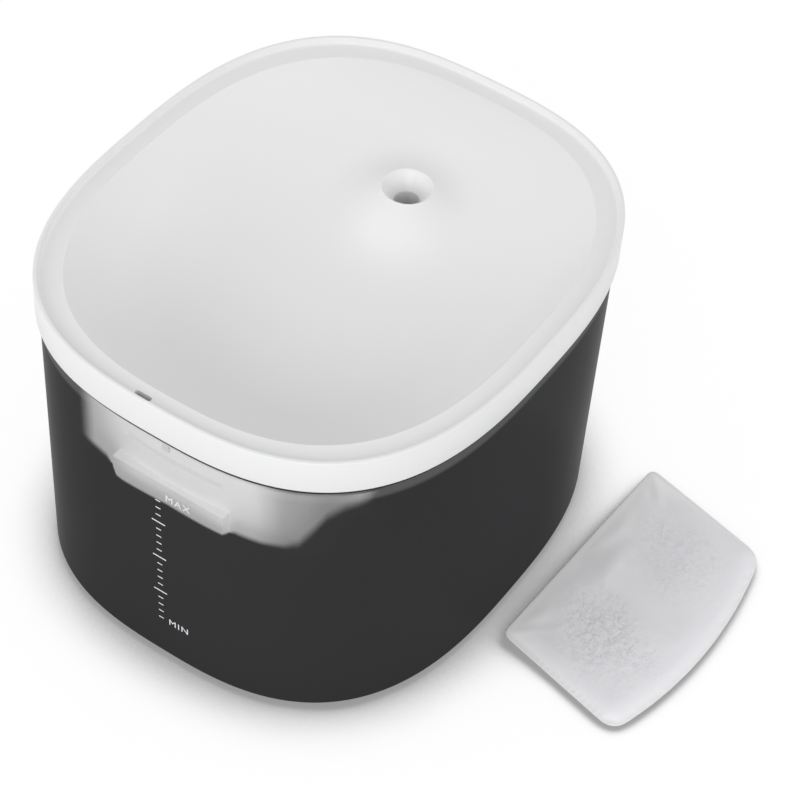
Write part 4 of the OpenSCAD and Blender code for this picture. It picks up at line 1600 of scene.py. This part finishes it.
    def dress(self) -> list[bpy.types.Object]:
        """Makes the filter in its tray and the spare on the floor."""
        low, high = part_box("filter_base_sheet")
        inside = Matrix.Translation(((low.x + high.x) / 2, high.y, low.z))
        lean = Matrix(((1, self.spare_lean, 0, 0), (0, 1, 0, 0), (0, 0, 1, 0), (0, 0, 0, 1)))
        turn = Matrix.Rotation(math.radians(self.spare_turn), 4, "Z")
        beside = Matrix.Translation(self.spare_at) @ turn @ lean
        return [
            self.put("filter_pouch", inside, "filter",
                     ["filter_base_sheet", "filter_top_sheet", "filter_media"]),
            self.put("spare_filter_pouch", beside, "spare_filter",
                     ["spare_filter_base_sheet", "spare_filter_top_sheet", "spare_filter_media"]),
        ]


# ---- carried-over CAD pieces -------------------------------------------------


@dataclass
class Innards:
    """The pump, riser, tray and rubber pieces, whose CAD shapes stay."""

    frame: dict
    paints: Paints
    finishes: dict[str, Finish] = field(default_factory=lambda: {
        "foot_ring": Finish.RUBBER,
        "cable_grommet": Finish.RUBBER,
        "pump_body": Finish.PUMP,
        "impeller_cover": Finish.PUMP,
        "impeller": Finish.IMPELLER,
        "rotor_magnet": Finish.MAGNET,
        "rotor_shaft": Finish.CERAMIC,
        "shaft_bushes": Finish.RUBBER,
        "intake_cover": Finish.PUMP,
        "pump_sponge": Finish.SPONGE,
        "flow_regulator": Finish.IMPELLER,
        "suction_cups": Finish.RUBBER,
        "riser_tube": Finish.TUBE,
        "spout_gasket": Finish.RUBBER,
        "filter_tray": Finish.TRAY,
    })

    def dress(self) -> list[bpy.types.Object]:
        """Gives each carried-over node its finish."""
        dressed = []
        for name, finish in self.finishes.items():
            node = self.frame["nodes"][name]
            self.paints.coat(node, finish)
            dressed.append(node)
        return dressed


# ---- studio ------------------------------------------------------------------


@dataclass(frozen=True)
class Lamp:
    """A soft square lamp that looks at the object."""

    name: str
    at: Point
    power: float
    size: float = 0.9
    look_at: Point = (0, 0, 0.08)

    def build(self) -> None:
        """Adds the lamp to the scene."""
        data = bpy.data.lights.new(self.name, "AREA")
        data.shape = "SQUARE"
        data.size = self.size
        data.energy = self.power
        made = add_object(self.name, data)
        made.location = self.at
        made.visible_camera = False
        away = Vector(self.at) - Vector(self.look_at)
        made.rotation_mode = "QUATERNION"
        made.rotation_quaternion = away.to_track_quat("Z", "Y")


@dataclass
class Studio:
    """Pale floor, soft lamps and the camera."""

    camera_at: Point = (0.40403, -0.60975, 0.85987)
    right: Point = (0.82380, 0.56446, 0.05227)
    up: Point = (-0.44657, 0.58941, 0.67319)
    forward: Point = (-0.34918, 0.57791, -0.73762)
    focal_pixels: float = 2595.43
    picture_pixels: float = 800.0
    sensor_mm: float = 36.0
    clip: Pair = (0.05, 20.0)
    floor_half: float = 3.0
    # the floor's glow: its strength, what closed places lose as painted contact shade,
    # and how closeness is read
    floor_glow: float = 1.05
    painted_contact_shade: float = 0.74
    open_from: float = 0.5
    open_span: float = 0.38
    shade_samples: int = 12
    contact: float = 0.040
    seen_share: float = 0.85
    paper: Colour = (0.75, 0.75, 0.75)
    paper_seen: Colour = (0.9, 0.9, 0.9)
    # the world's strength all round, and what a low ring adds, with the ring's two fades
    sky: float = 0.658
    horizon: float = 0.300
    ring_foot: Pair = (-0.05, 0.05)
    ring_top: Pair = (0.65, 0.45)
    lamps: tuple[Lamp, ...] = (
        Lamp("key", (0.641, -1.466, 0.905), 6.6),
        Lamp("fill", (-0.901, -1.352, 0.855), 3.2),
        Lamp("side", (1.544, -0.182, 0.988), 1.8),
    )

    def camera(self) -> None:
        """Sets the camera."""
        data = bpy.data.cameras.new("camera")
        data.sensor_width = self.sensor_mm
        data.lens = self.focal_pixels * self.sensor_mm / self.picture_pixels
        data.clip_start, data.clip_end = self.clip
        made = add_object("camera", data)
        right, up, back = Vector(self.right), Vector(self.up), -Vector(self.forward)
        turn = Matrix((right, up, back)).transposed().to_4x4()
        made.matrix_world = Matrix.Translation(self.camera_at) @ turn
        bpy.context.scene.camera = made

    def seen(self, net: Net) -> Level:
        """1 for rays that show the backdrop: camera, glossy and transmission rays."""
        path = net.node("ShaderNodeLightPath")
        camera, glossy, through = (Level(net, path.outputs[f"Is {kind} Ray"])
                                   for kind in ("Camera", "Glossy", "Transmission"))
        return camera.at_least(glossy).at_least(through)

    def floor(self) -> bpy.types.Object:
        """Makes the floor: white where seen, with painted contact shade and some real shadow."""
        half = self.floor_half
        corners = [(-half, -half, 0), (half, -half, 0), (half, half, 0), (-half, half, 0)]
        piece = add_mesh("floor", corners, [(0, 1, 2, 3)])
        net = Net("studio_floor")
        seen = self.seen(net)
        # painted shade: the seen glow dims with ambient occlusion close to the object
        open_sky = net.level("ShaderNodeAmbientOcclusion", {"samples": self.shade_samples},
                             {"Distance": self.contact}, "AO")
        share = (open_sky - self.open_from) / self.open_span
        closed = 1.0 - share.at_least(0.0).at_most(1.0)
        glow = self.floor_glow - closed * closed * self.painted_contact_shade
        tone = net.tint(seen, self.paper, self.paper_seen)
        paper = net.node("ShaderNodeBsdfDiffuse", None, {"Color": tone})
        lit = net.node("ShaderNodeEmission", None, {"Color": WHITE, "Strength": glow})
        mixed = net.node("ShaderNodeMixShader", None,
                         [seen * self.seen_share, paper.outputs[0], lit.outputs[0]])
        output = net.node("ShaderNodeOutputMaterial")
        net.tree.links.new(mixed.outputs[0], output.inputs["Surface"])
        piece.data.materials.append(net.material)
        return piece

    def world(self) -> None:
        """Sets a white world, brighter low round the object, that shows as plain white."""
        world = bpy.data.worlds.new("studio")
        world.use_nodes = True
        bpy.context.scene.world = world
        net = Net("studio_sky")
        net.tree = world.node_tree
        net.tree.nodes.clear()
        towards = net.node("ShaderNodeTexCoord").outputs["Generated"]
        height = net.level("ShaderNodeSeparateXYZ", None, {"Vector": towards}, "Z")
        ring = height.ramp(*self.ring_foot) * height.ramp(*self.ring_top)
        camera = net.level("ShaderNodeLightPath", None, None, "Is Camera Ray")
        strength = (ring * self.horizon + self.sky) * (1.0 - camera) + camera
        back = net.node("ShaderNodeBackground", None, {"Color": WHITE, "Strength": strength})
        output = net.node("ShaderNodeOutputWorld")
        net.tree.links.new(back.outputs[0], output.inputs["Surface"])
        bpy.data.materials.remove(net.material)

    def build(self) -> None:
        """Sets up camera, floor, world and lamps."""
        bpy.context.scene.view_settings.view_transform = "Standard"
        self.camera()
        self.floor()
        self.world()
        for lamp in self.lamps:
            lamp.build()


# ---- put together ------------------------------------------------------------


def main() -> None:
    """Dresses the frame and reports each piece."""
    logging.basicConfig(level=logging.INFO, format="%(name)s: %(message)s")
    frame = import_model()
    low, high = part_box("drinking_bowl")
    rim = Rim(high.x - low.x, high.y - low.y, high.z)
    paints = Paints()
    Studio().build()
    for maker in (Tank(rim, paints), Bowl(rim, paints), Pouch(paints), Innards(frame, paints)):
        for piece in maker.dress():
            LOG.info("%s: %d faces", piece.name, len(piece.data.polygons))


if __name__ == "__main__":
    main()
